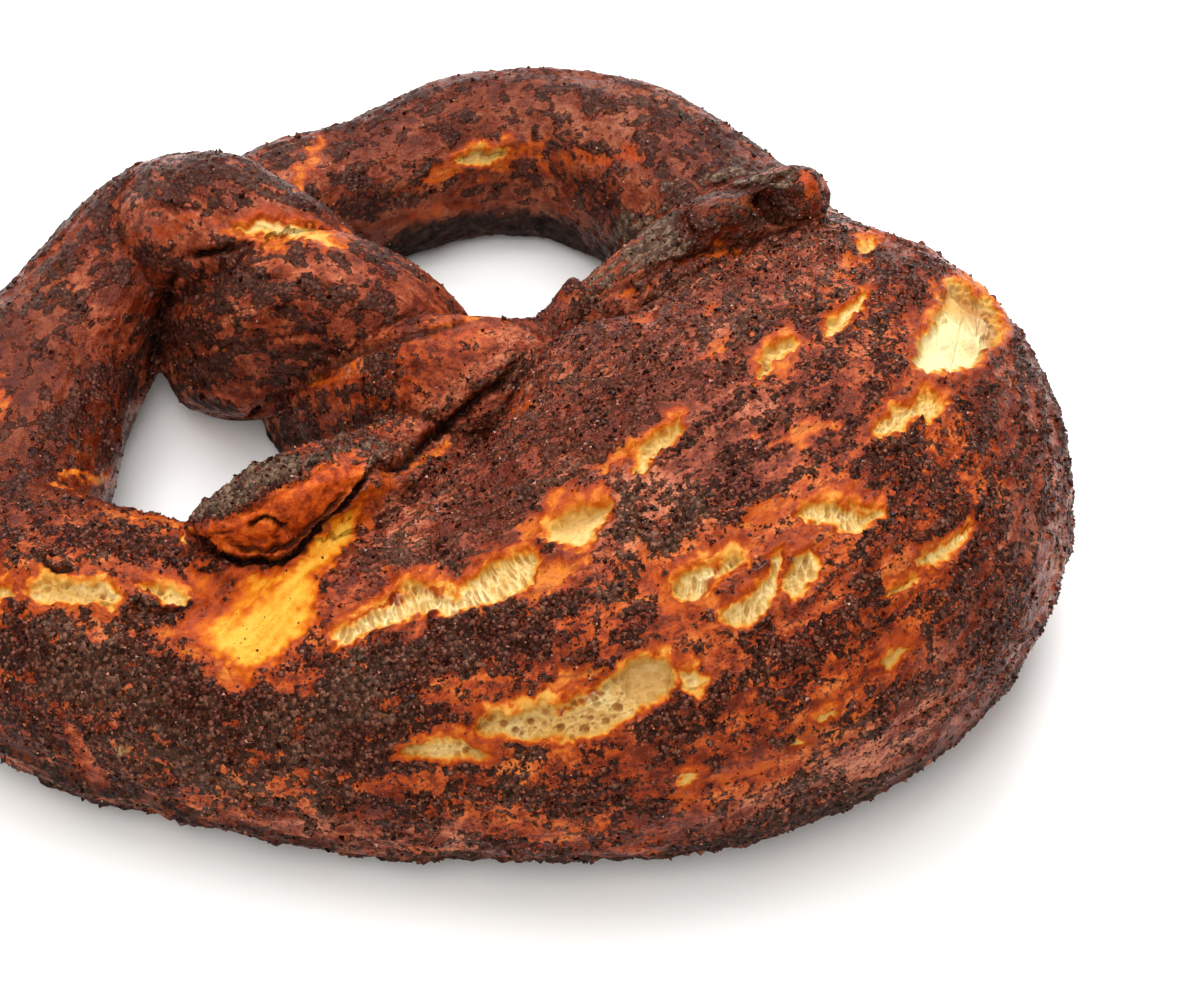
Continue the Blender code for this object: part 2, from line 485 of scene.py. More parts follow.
# Tears in the crust that show crumb: kind, depth in mm, outline.
TEARS = (
    ("fibre", 2.3, ((330, 650), (334, 630), (360, 614), (382, 604), (390, 591), (415, 582),
                    (440, 588), (458, 592), (470, 576), (484, 562), (505, 555), (527, 549),
                    (543, 555), (541, 566), (530, 586), (497, 602), (458, 615), (408, 619),
                    (376, 630), (345, 645))),
    ("smooth", 2.0, ((540, 533), (553, 516), (573, 503), (600, 499), (615, 501), (609, 519),
                     (598, 532), (589, 543), (573, 551), (560, 546), (546, 540))),
    ("porous", 1.7, ((391, 761), (408, 746), (428, 739), (445, 735), (464, 739), (477, 749),
                     (495, 755), (477, 762), (441, 762), (408, 763))),
    ("porous", 2.9, ((468, 724), (484, 713), (510, 713), (527, 703), (543, 696), (553, 702),
                     (578, 692), (596, 690), (606, 678), (615, 668), (642, 656), (665, 656),
                     (677, 668), (675, 688), (655, 701), (638, 712), (622, 724), (596, 737),
                     (579, 743), (553, 738), (530, 744), (514, 740), (490, 735), (477, 733))),
    ("porous", 1.5, ((679, 671), (692, 667), (705, 672), (706, 684), (694, 695), (681, 690))),
    ("fibre", 2.4, ((670, 582), (678, 573), (693, 568), (719, 561), (741, 555), (749, 562),
                    (734, 572), (714, 583), (705, 598), (688, 604), (675, 598))),
    ("fibre", 2.4, ((719, 626), (723, 612), (744, 594), (763, 575), (771, 556), (786, 546),
                    (782, 572), (779, 597), (766, 613), (747, 626), (733, 631))),
    ("fibre", 1.9, ((787, 577), (797, 556), (813, 546), (822, 555), (817, 573), (807, 592),
                    (793, 603), (786, 594))),
    ("fibre", 1.8, ((797, 515), (810, 504), (830, 502), (860, 506), (886, 505), (882, 521),
                    (860, 532), (832, 529), (807, 524))),
    ("porous", 1.7, ((872, 438), (880, 424), (888, 414), (905, 406), (917, 398), (923, 388),
                     (935, 394), (946, 405), (940, 414), (932, 422), (920, 415), (904, 428),
                     (884, 440))),
    ("slab", 3.0, ((911, 366), (915, 348), (922, 329), (938, 317), (943, 294), (956, 280),
                   (967, 284), (976, 292), (989, 300), (997, 315), (1003, 336), (996, 348),
                   (986, 356), (972, 371), (953, 373), (931, 375))),
    ("porous", 1.4, ((823, 337), (831, 318), (843, 308), (853, 299), (868, 288), (866, 303),
                     (847, 322), (835, 337))),
    ("smooth", 1.0, ((857, 248), (864, 240), (874, 240), (881, 248), (871, 259), (862, 262))),
    ("smooth", 0.6, ((912, 243), (922, 240), (936, 247), (930, 250), (918, 249))),
    ("porous", 1.4, ((754, 383), (758, 362), (770, 343), (789, 334), (797, 345), (778, 357),
                     (769, 372), (761, 384))),
    ("porous", 1.8, ((634, 471), (637, 450), (656, 429), (681, 410), (681, 431), (664, 450),
                     (647, 470))),
    ("fibre", 1.2, ((912, 563), (932, 550), (954, 542), (964, 528), (975, 524), (968, 543),
                    (948, 560), (923, 570))),
    ("fibre", 0.7, ((888, 597), (904, 585), (922, 582), (912, 590))),
    ("smooth", 1.0, ((881, 664), (891, 653), (910, 647), (907, 660), (891, 672))),
    ("smooth", 0.7, ((816, 716), (825, 711), (835, 716), (825, 722))),
    ("smooth", 0.7, ((790, 743), (799, 737), (808, 742), (799, 749))),
    ("smooth", 0.6, ((677, 780), (690, 772), (703, 777), (690, 786))),
    ("porous", 1.7, ((21, 589), (43, 577), (72, 580), (96, 578), (110, 582), (124, 598),
                     (112, 607), (72, 605), (36, 602))),
    ("porous", 1.4, ((-40, 592), (-10, 585), (12, 584), (17, 596), (0, 600), (-30, 602))),
    ("porous", 1.5, ((134, 582), (158, 579), (176, 585), (193, 598), (177, 602), (153, 592))),
    ("porous", 0.9, ((454, 163), (470, 153), (490, 148), (511, 148), (505, 158), (486, 166),
                     (468, 169))),
    ("porous", 0.6, ((180, 532), (184, 531), (186, 541), (182, 544))),
    ("smooth", 0.5, ((236, 229), (254, 221), (276, 219), (302, 226), (328, 236), (346, 245),
                     (322, 244), (294, 238), (264, 236), (244, 235))),
)

# Orange skins that cross a tear: two ends and half width.
SEPTA = (
    ((548, 738), (560, 712), 5.0), ((560, 712), (600, 694), 4.0), ((664, 450), (650, 470), 3.0),
    ((784, 556), (782, 596), 3.0), ((700, 600), (716, 568), 3.0), ((454, 600), (458, 616), 3.0),
    ((410, 606), (417, 622), 3.0), ((352, 612), (392, 597), 5.0), ((392, 597), (440, 590), 4.0), ((950, 300), (962, 340), 5.0), ((962, 340), (990, 350), 4.0),
)

# Single bubbles in the lower big tear: middle, radius, depth in mm.
BOWLS = (
    ((646, 680), 27, 1.5), ((489, 718), 6, 0.9), ((503, 724), 4.5, 0.7), ((560, 729), 5.5, 0.9),
    ((584, 730), 6.0, 0.9), ((606, 722), 5.0, 0.8), ((590, 719), 4.0, 0.6), ((530, 722), 4.5, 0.6),
    ((545, 712), 5.0, 0.6), ((515, 731), 4.0, 0.6), ((572, 738), 3.6, 0.5), ((618, 708), 6.0, 0.7),
    ((478, 728), 4.0, 0.5),
)

# Stretched skin where the crust opened without showing crumb: two ends, half width,
# strength, and how far it is sunk in mm.
STRETCHES = (
    ((592, 466), (632, 454), 14, 1.0, 0.7),
    ((765, 440), (835, 420), 13, 0.95, 0.6),
    ((848, 268), (882, 238), 15, 0.9, 0.5),
    ((884, 236), (940, 248), 9, 0.8, 0.3),
    ((936, 300), (946, 278), 15, 0.95, 0.4),
    ((1002, 312), (1006, 338), 10, 0.8, 0.2),
    ((840, 318), (870, 292), 14, 0.8, 0.3),
    ((770, 372), (800, 345), 15, 0.85, 0.3),
    ((702, 352), (722, 340), 9, 0.8, 0.3),
    ((880, 356), (898, 354), 8, 0.7, 0.2),
    ((530, 592), (590, 548), 15, 1.0, 0.5),
    ((520, 528), (550, 520), 12, 0.9, 0.4),
    ((350, 612), (455, 586), 9, 0.9, 0.3),
    ((715, 786), (775, 766), 10, 0.75, 0.4),
    ((671, 796), (715, 786), 9, 0.75, 0.3),
    ((744, 528), (790, 500), 15, 0.85, 0.4),
    ((700, 560), (760, 545), 12, 0.9, 0.4),
    ((640, 556), (700, 640), 14, 0.75, 0.2),
    ((700, 590), (722, 612), 14, 0.9, 0.5),
    ((780, 600), (830, 540), 10, 0.75, 0.3),
    ((888, 598), (930, 575), 9, 0.8, 0.3),
    ((868, 670), (905, 655), 11, 0.8, 0.2),
    ((600, 690), (640, 660), 14, 0.9, 0.4),
    ((476, 720), (540, 693), 9, 1.0, 0.4),
    ((540, 693), (600, 667), 12, 1.0, 0.5),
    ((600, 667), (664, 647), 10, 1.0, 0.3),
    ((560, 748), (640, 728), 10, 0.9, 0.2),
    ((545, 736), (562, 712), 9, 0.9, -0.4),
    ((300, 190), (322, 140), 11, 0.95, 0.2),
    ((430, 178), (540, 150), 15, 0.8, 0.3),
    ((540, 165), (640, 155), 12, 0.6, 0.2),
    ((400, 232), (480, 205), 14, 0.5, 0.0),
    ((60, 474), (145, 492), 10, 0.95, -0.2),
    ((130, 512), (184, 528), 9, 0.9, -0.1),
    ((20, 576), (110, 576), 8, 0.9, 0.1),
    ((-20, 596), (20, 594), 12, 0.8, 0.1),
    ((30, 606), (120, 608), 8, 0.8, 0.0),
    ((130, 582), (200, 592), 10, 0.9, 0.1),
    ((145, 628), (200, 650), 16, 0.9, 0.3),
    ((205, 655), (236, 680), 13, 0.9, 0.2),
    ((0, 380), (8, 420), 12, 0.8, 0.0),
    ((120, 250), (190, 215), 12, 0.5, 0.0),
    ((215, 226), (350, 240), 15, 0.95, 0.2),
    ((425, 322), (480, 318), 8, 0.85, 0.0),
    ((300, 392), (350, 366), 10, 0.8, 0.0),
    ((440, 345), (480, 332), 12, 0.4, 0.0),
    ((400, 475), (450, 440), 7, 0.85, 0.3),
    ((500, 410), (528, 393), 7, 0.8, 0.3),
    ((617, 306), (642, 288), 7, 0.75, 0.4),
    ((628, 317), (671, 305), 6, 0.8, 0.4),
    ((674, 261), (746, 246), 6, 0.7, 0.4),
    ((699, 314), (721, 304), 6, 0.7, 0.3),
    ((681, 350), (714, 339), 7, 0.6, 0.3),
    ((372, 520), (392, 470), 16, 0.7, 0.2),
    ((430, 700), (470, 705), 12, 0.5, 0.1),
    ((380, 560), (396, 580), 10, 0.7, 0.1),
)

# Bare dough under the left arm, pulled thin and yellow.
DOUGH = ((196, 566), (240, 563), (281, 560), (318, 539), (348, 511), (368, 486), (373, 506),
         (350, 545),
         (324, 581), (315, 611), (296, 644), (273, 667), (240, 682), (222, 668), (200, 648),
         (184, 628), (186, 598))

# Where the dark sugar crust lies thick or is missing: two ends, half width, share.
# Later strokes cover earlier ones.
CRUST_SHARE = 0.50
STROKES = (
    # right part of the belly, thinner
    ((760, 300), (900, 420), 130, 0.50),
    ((700, 620), (900, 700), 120, 0.40),
    ((860, 600), (980, 600), 90, 0.42),
    ((560, 830), (820, 790), 40, 0.42),
    ((1045, 420), (1010, 640), 40, 0.55),
    ((960, 440), (1000, 560), 45, 0.60),
    ((900, 480), (1010, 450), 26, 0.72),
    ((830, 400), (900, 370), 28, 0.70),
    ((840, 470), (900, 450), 26, 0.66),
    ((720, 500), (770, 440), 40, 0.80),
    ((650, 545), (720, 500), 42, 0.86),
    ((690, 395), (830, 330), 32, 0.66),
    ((800, 290), (840, 260), 30, 0.62),
    ((890, 280), (910, 330), 22, 0.70),
    ((1010, 370), (1050, 440), 24, 0.72),
    ((960, 400), (1000, 390), 20, 0.30),
    ((975, 470), (1040, 470), 22, 0.30),
    ((700, 700), (760, 650), 40, 0.62),
    ((560, 775), (720, 700), 30, 0.70),
    ((600, 800), (700, 760), 24, 0.60),
    ((440, 790), (560, 790), 26, 0.62),
    ((820, 760), (980, 690), 36, 0.45),
    ((720, 640), (740, 700), 22, 0.42),
    ((850, 560), (870, 640), 26, 0.55),
    ((950, 590), (1010, 560), 30, 0.50),
    # top left of the belly, nearly black
    ((420, 545), (520, 440), 70, 0.86),
    ((520, 440), (640, 340), 64, 0.86),
    ((440, 500), (600, 480), 50, 0.86),
    ((600, 400), (700, 300), 40, 0.84),
    ((640, 290), (760, 240), 28, 0.80),
    ((760, 240), (860, 225), 24, 0.80),
    ((690, 330), (760, 300), 26, 0.78),
    ((620, 385), (760, 312), 34, 0.84),
    ((700, 318), (850, 268), 30, 0.82),
    ((400, 565), (470, 560), 22, 0.93),
    # band between the big tears
    ((345, 690), (430, 655), 36, 0.93),
    ((430, 655), (560, 620), 26, 0.93),
    ((560, 610), (650, 590), 30, 0.88),
    ((600, 640), (660, 640), 14, 0.55),
    ((640, 600), (660, 570), 26, 0.78),
    ((430, 700), (560, 670), 18, 0.70),
    # lower left front
    ((20, 640), (150, 680), 46, 0.92),
    ((120, 700), (330, 760), 62, 0.94),
    ((250, 720), (390, 740), 46, 0.94),
    ((300, 800), (420, 810), 26, 0.80),
    ((30, 720), (120, 780), 34, 0.82),
    ((60, 560), (130, 540), 26, 0.78),
    ((0, 540), (180, 545), 22, 0.72),
    ((150, 608), (180, 604), 14, 0.97),
    # left loop
    ((90, 200), (200, 165), 26, 0.84),
    ((200, 175), (290, 215), 26, 0.84),
    ((60, 260), (150, 200), 22, 0.72),
    ((10, 330), (60, 260), 26, 0.74),
    ((60, 440), (110, 380), 26, 0.68),
    ((20, 480), (60, 440), 26, 0.72),
    ((100, 300), (150, 250), 18, 0.45),
    ((30, 330), (110, 330), 16, 0.42),
    # right loop
    ((300, 150), (400, 100), 26, 0.72),
    ((400, 100), (520, 80), 20, 0.66),
    ((520, 80), (660, 110), 22, 0.78),
    ((640, 110), (740, 165), 24, 0.80),
    ((330, 200), (400, 180), 24, 0.78),
    ((400, 180), (470, 130), 20, 0.60),
    ((560, 190), (600, 240), 22, 0.66),
    ((600, 170), (700, 190), 22, 0.58),
    ((400, 225), (560, 200), 16, 0.22),
    ((420, 150), (560, 140), 18, 0.36),
    # first bulge of the twist
    ((190, 330), (280, 260), 40, 0.84),
    ((280, 270), (370, 300), 34, 0.86),
    ((200, 370), (330, 350), 26, 0.80),
    ((420, 300), (470, 318), 26, 0.16),
    ((400, 330), (450, 318), 14, 0.35),
    ((225, 400), (270, 412), 20, 0.15),
    # second bulge
    ((310, 430), (410, 410), 28, 0.82),
    ((330, 400), (400, 370), 18, 0.66),
    ((420, 360), (500, 335), 26, 0.30),
    ((400, 450), (440, 400), 20, 0.70),
    ((320, 380), (350, 362), 14, 0.20),
    # arms
    ((190, 510), (250, 475), 22, 0.97),
    ((250, 475), (370, 452), 16, 0.97),
    ((600, 284), (640, 238), 27, 0.97),
    ((640, 238), (710, 205), 32, 0.97),
    ((710, 184), (815, 174), 16, 0.97),
    ((760, 205), (800, 215), 14, 0.95),
    ((690, 214), (760, 206), 20, 0.86),
    ((606, 306), (700, 266), 12, 0.90),
    ((700, 262), (800, 238), 9, 0.88),
    # bare stripes
    ((68, 726), (96, 782), 8, 0.08),
    ((280, 822), (460, 846), 9, 0.30),
    ((880, 560), (900, 590), 10, 0.20),
    ((1000, 480), (1050, 500), 14, 0.25),
    ((690, 838), (830, 786), 24, 0.66),
    ((830, 786), (922, 716), 30, 0.66),
    ((922, 716), (996, 612), 36, 0.62),
    ((996, 612), (1040, 480), 30, 0.60),
)

# Faces of the arms' ends that are bare, orange and glossy.
ARM_FACE = ((197, 537), (220, 520), (248, 508), (273, 495), (312, 472), (348, 451), (366, 460),
            (365, 478), (345, 505), (315, 533), (279, 558), (243, 559), (212, 553))
TIP_FACE = ((797, 179), (812, 174), (818, 186), (814, 204), (800, 206))
LOBE_FACE = ((700, 205), (716, 194), (738, 190), (756, 198), (752, 214), (734, 226), (712, 226))

# Grey feet where the loops' undersides show and along the belly's lower outline, a burnt
# rim with painted shade where the undersides turn toward the floor: two ends, half width
# and strength; and a clump of paler sugar.
FEET = (
    ((378, 262), (420, 238), 11.0, 1.0), ((420, 238), (480, 223), 12.0, 1.0),
    ((480, 223), (545, 227), 12.0, 1.0), ((545, 227), (600, 266), 10.0, 1.0),
    ((132, 392), (156, 336), 6.0, 1.0), ((160, 378), (225, 418), 3.5, 1.0),
    ((225, 418), (300, 446), 3.5, 1.0), ((0, 742), (65, 777), 8.0, 0.8),
    ((65, 777), (200, 817), 7.0, 0.8), ((200, 817), (350, 854), 6.0, 0.7),
    ((350, 856), (600, 864), 6.0, 0.75), ((600, 864), (676, 857), 8.0, 0.8),
    ((676, 857), (772, 832), 11.0, 0.8), ((772, 832), (860, 804), 13.0, 0.8),
    ((860, 804), (933, 756), 13.0, 0.8), ((933, 756), (1002, 693), 11.0, 0.75),
    ((1002, 693), (1040, 637), 8.0, 0.7),
)
TAN_CLUMP = (125.0, 746.0)

# Creases: points, half width, depth in mm, and how dark their painted shade is.
GROOVES = (
    # under the left arm's end, then up between the second bulge and the belly
    (((188, 530), (197, 543), (215, 554), (243, 560), (279, 559), (315, 536), (345, 508),
      (366, 478), (378, 466)), 3.2, 1.5, 1.0),
    (((380, 468), (398, 468), (414, 452), (432, 436), (450, 424), (475, 402), (505, 378),
      (530, 352)), 5.0, 1.6, 0.9),
    # its lower lip and the curl of its end
    (((226, 541), (243, 548), (262, 550), (288, 545), (312, 530), (336, 506), (352, 486)),
     3.0, 0.9, 0.75),
    (((250, 532), (251, 523), (258, 517), (268, 516), (278, 521), (284, 529), (291, 536)),
     2.8, 1.1, 0.85),
    (((222, 522), (238, 516), (250, 508), (276, 496), (315, 473), (350, 453)), 2.2, 0.4, 0.3),
    (((205, 545), (214, 536), (228, 532), (238, 534)), 2.4, 0.5, 0.6),
    # twist
    (((262, 415), (296, 388), (340, 357), (381, 343), (422, 330), (478, 320)), 4.5, 1.2, 0.7),
    (((188, 257), (205, 254), (222, 250), (240, 245)), 4.0, 1.6, 1.0),
    (((180, 262), (166, 300), (160, 340), (154, 376)), 5.0, 1.0, 0.9),
    (((250, 425), (256, 417), (262, 414)), 4.0, 1.2, 1.0),
    (((238, 268), (262, 277), (296, 276)), 2.4, 0.4, 0.35),
    (((250, 318), (280, 308), (300, 306)), 2.2, 0.4, 0.3),
    (((205, 350), (240, 346), (275, 338), (330, 330)), 2.6, 0.4, 0.35),
    (((120, 215), (160, 205), (205, 212), (232, 226)), 2.2, 0.4, 0.35),
    # right arm on the belly, its lobes and hollow
    (((600, 300), (632, 283), (668, 264), (702, 251), (745, 244), (790, 230), (820, 212)),
     3.4, 0.7, 0.6),
    (((690, 200), (684, 214), (690, 230), (704, 238)), 3.0, 0.9, 0.8),
    (((762, 190), (768, 205), (776, 218), (790, 222)), 5.0, 1.8, 1.0),
    (((700, 190), (722, 182), (748, 182), (770, 178), (790, 172)), 2.6, 0.6, 0.6),
    (((625, 235), (612, 262), (600, 285)), 2.4, 0.4, 0.5),
    # lower left of the belly
    (((128, 604), (148, 612), (176, 608), (196, 600)), 3.6, 1.0, 1.0),
    (((40, 560), (58, 572), (78, 566)), 3.2, 0.6, 0.9),
    (((395, 790), (450, 806), (520, 812), (600, 806)), 2.4, 0.3, 0.3),
    (((250, 800), (330, 822), (430, 836)), 2.6, 0.35, 0.35),
)


def make_body_mesh(rope):
    v, faces = rope.mesh()
    mesh = bpy.data.meshes.new("sweep")
    mesh.from_pydata((v * MM).tolist(), [], faces)
    mesh.update()
    sweep = bpy.data.objects.new("sweep", mesh)
    bpy.context.scene.collection.objects.link(sweep)
    fuse = sweep.modifiers.new("fuse", "REMESH")
    fuse.mode = "VOXEL"
    fuse.voxel_size = SKIN_VOXEL * MM
    fuse.adaptivity = 0.0
    soothe = sweep.modifiers.new("soothe", "SMOOTH")
    soothe.factor = 0.5
    soothe.iterations = SOOTHE_STEPS
    v, f = triangles_of(sweep)
    bpy.data.objects.remove(sweep)
    bpy.data.meshes.remove(mesh)
    a, b, c = v[f[:, 0]], v[f[:, 1]], v[f[:, 2]]
    if np.einsum("ij,ij->i", a, np.cross(b, c)).sum() < 0:
        f = f[:, ::-1]
    v[:, 2] = np.maximum(v[:, 2], 0.0)
    return v, f


def rope_places(rope, v):
    """For each vertex: distance along the rope, and its place across the section."""
    n, m = rope.rings.shape[:2]
    tree = kdtree.KDTree(n * m // 2)
    flat = rope.rings.reshape(-1, 3)
    for k in range(0, n * m, 2):
        tree.insert(flat[k], k)
    tree.balance()
    find = tree.find
    ring = np.fromiter((find(p)[1] for p in v.tolist()), int, len(v)) // m
    d = v - rope.curve[ring, :3]
    s = rope.at[ring] + np.einsum("ij,ij->i", d, rope.tangent[ring])
    u = np.einsum("ij,ij->i", d, rope.side[ring])
    w = np.einsum("ij,ij->i", d, rope.up[ring])
    return s, u, w


def tree_of(v, f):
    return BVHTree.FromPolygons(v.tolist(), f.tolist(), all_triangles=True)


def seen_from_camera(tree, v, n):
    """1 where the camera sees the vertex, 0 where something hides it."""
    to_cam = CAM_PLACE - v
    to_cam /= np.linalg.norm(to_cam, axis=1)[:, None]
    facing = np.einsum("ij,ij->i", n, to_cam)
    seen = np.zeros(len(v))
    tries = np.flatnonzero(facing > 0.02)
    start = (v + n * 0.25 + to_cam * 0.25)[tries].tolist()
    way = to_cam[tries].tolist()
    cast = tree.ray_cast
    for k, p, d in zip(tries.tolist(), start, way):
        if cast(p, d)[0] is None:
            seen[k] = 1.0
    return seen, facing


# Soft pushes that bring the swept shape to the picture's: where, how far they reach
# in mm, and the move in mm to the picture's right, up and toward the camera.
PUSHES = (
    # outline: right loop lower, left loop in, belly's far corner out, hole's corner up
    ((690, 135), 15, (-0.4, -1.0, 0.0)),
    ((60, 262), 17, (0.8, -1.0, 0.0)),
    ((930, 285), 17, (0.3, 0.6, 0.0)),
    ((150, 512), 9, (0.0, 2.2, 0.0)),
    ((128, 502), 8, (0.3, 1.8, 0.0)),
    ((112, 440), 8, (1.4, 0.0, 0.0)),
    ((116, 400), 8, (0.8, 0.0, 0.0)),
    # the left arm sinks away behind its end
    ((430, 424), 11, (0.0, -3.2, -1.2)),
    ((392, 448), 7, (0.0, -1.8, -0.6)),
    ((478, 392), 9, (0.0, -1.6, -0.6)),
    ((300, 500), 7, (0.0, 0.5, 1.4)),
    ((228, 532), 5, (-0.4, 0.2, 1.2)),
    ((268, 528), 3.4, (0.0, 0.3, 0.9)),
    # under the arm the dough comes up to the crease
    ((290, 585), 8, (0.0, 0.6, 0.6)),
    # right arm: a fat lobe, a hollow beside it, an upturned tip, a slimmer root
    ((724, 210), 5.5, (0.0, 0.4, 2.0)),
    ((774, 212), 4.0, (0.0, -0.5, -2.4)),
    ((808, 184), 4.0, (0.4, 0.9, 0.5)),
    ((735, 172), 5.0, (0.0, 0.9, -0.2)),
    ((655, 296), 6.0, (0.0, 0.4, 1.1)),
    # torn bump of crust over the right hole
    ((572, 318), 4.2, (-0.2, 4.0, 1.2)),
    ((554, 326), 2.8, (0.0, 1.8, 0.6)),
    # the first bulge hangs lower over the left hole, the second stands back from it
    ((236, 400), 7.0, (0.0, -2.2, 0.0)),
    ((272, 438), 10.0, (4.4, 0.0, 0.0)),
    # the right loop's inner edge hangs lower
    ((450, 236), 7, (0.0, -0.5, 0.0)),
    ((510, 228), 7, (0.0, -0.7, 0.0)),
    ((566, 244), 7, (-0.2, -0.5, 0.0)),
    ((150, 400), 6.0, (-2.2, 0.0, 0.0)),
)


# Notches filled with dough: a line along each, and how far it reaches across.
BRIDGED = (
    (((205, 556), (243, 566), (281, 562), (318, 541), (350, 508), (372, 480)), 17.0),
    (((610, 300), (660, 280), (702, 258), (760, 240), (800, 224)), 12.0),
)


def push_skin(v, tree):
    for (x, y), reach, (r, u, b) in PUSHES:
        hit = tree.ray_cast(Vector(CAM_PLACE), Vector(picture_ray(x, y)))[0]
        if hit is None:
            print("no surface under the push at", x, y)
            continue
        d = np.linalg.norm(v - np.array(hit), axis=1) / reach
        w = np.clip(1 - d * d, 0, 1) ** 2
        v = v + w[:, None] * (r * CAM_RIGHT + u * CAM_UP + b * CAM_BACK)
    v[:, 2] = np.maximum(v[:, 2], 0.0)
    return v


def nearest_tear(xy, seen, margin=26.0):
    """Signed distance to the nearest tear's outline, its number, and its inner half width."""
    best = np.full(len(xy), -99.0)
    which = np.full(len(xy), -1)
    room = np.ones(len(xy))
    for k, (_, _, outline) in enumerate(TEARS):
        o = np.array(outline, float)
        lo, hi = o.min(0) - margin, o.max(0) + margin
        sel = np.flatnonzero(seen & ((xy > lo) & (xy < hi)).all(1))
        if not len(sel):
            continue
        d = outline_distance(xy[sel], outline)
        closer = d > best[sel]
        pick = sel[closer]
        best[pick], which[pick] = d[closer], k
        room[pick] = max(d.max(), 1.5)
    return best, which, room


def groove_reach(xy, seen):
    """Distance to the nearest crease over its half width, its depth and its painted shade."""
    near = np.full(len(xy), 99.0)
    cut, dark = np.zeros(len(xy)), np.zeros(len(xy))
    for points, half, depth, shade in GROOVES:
        o = np.array(points, float)
        lo, hi = o.min(0) - 5 * half, o.max(0) + 5 * half
        sel = np.flatnonzero(seen & ((xy > lo) & (xy < hi)).all(1))
        if not len(sel):
            continue
        d = np.full(len(sel), 1e9)
        place = np.zeros(len(sel))
        for i, (a, b) in enumerate(zip(o[:-1], o[1:])):
            e, t = line_distance(xy[sel], a, b)
            place = np.where(e < d, (i + t) / (len(o) - 1), place)
            d = np.minimum(d, e)
        taper = 0.35 + 0.65 * ease(0.0, 0.16, place) * ease(1.0, 0.84, place)
        d = d / half
        near[sel] = np.minimum(near[sel], d)
        g = np.exp(-(d**2)) * taper
        cut[sel] = np.maximum(cut[sel], depth * g)
        dark[sel] = np.maximum(dark[sel], shade * np.exp(-((d / 1.35) ** 2)) * taper)
    return near, cut, dark


class Skin:
    """The crust's mesh with what is painted on it."""


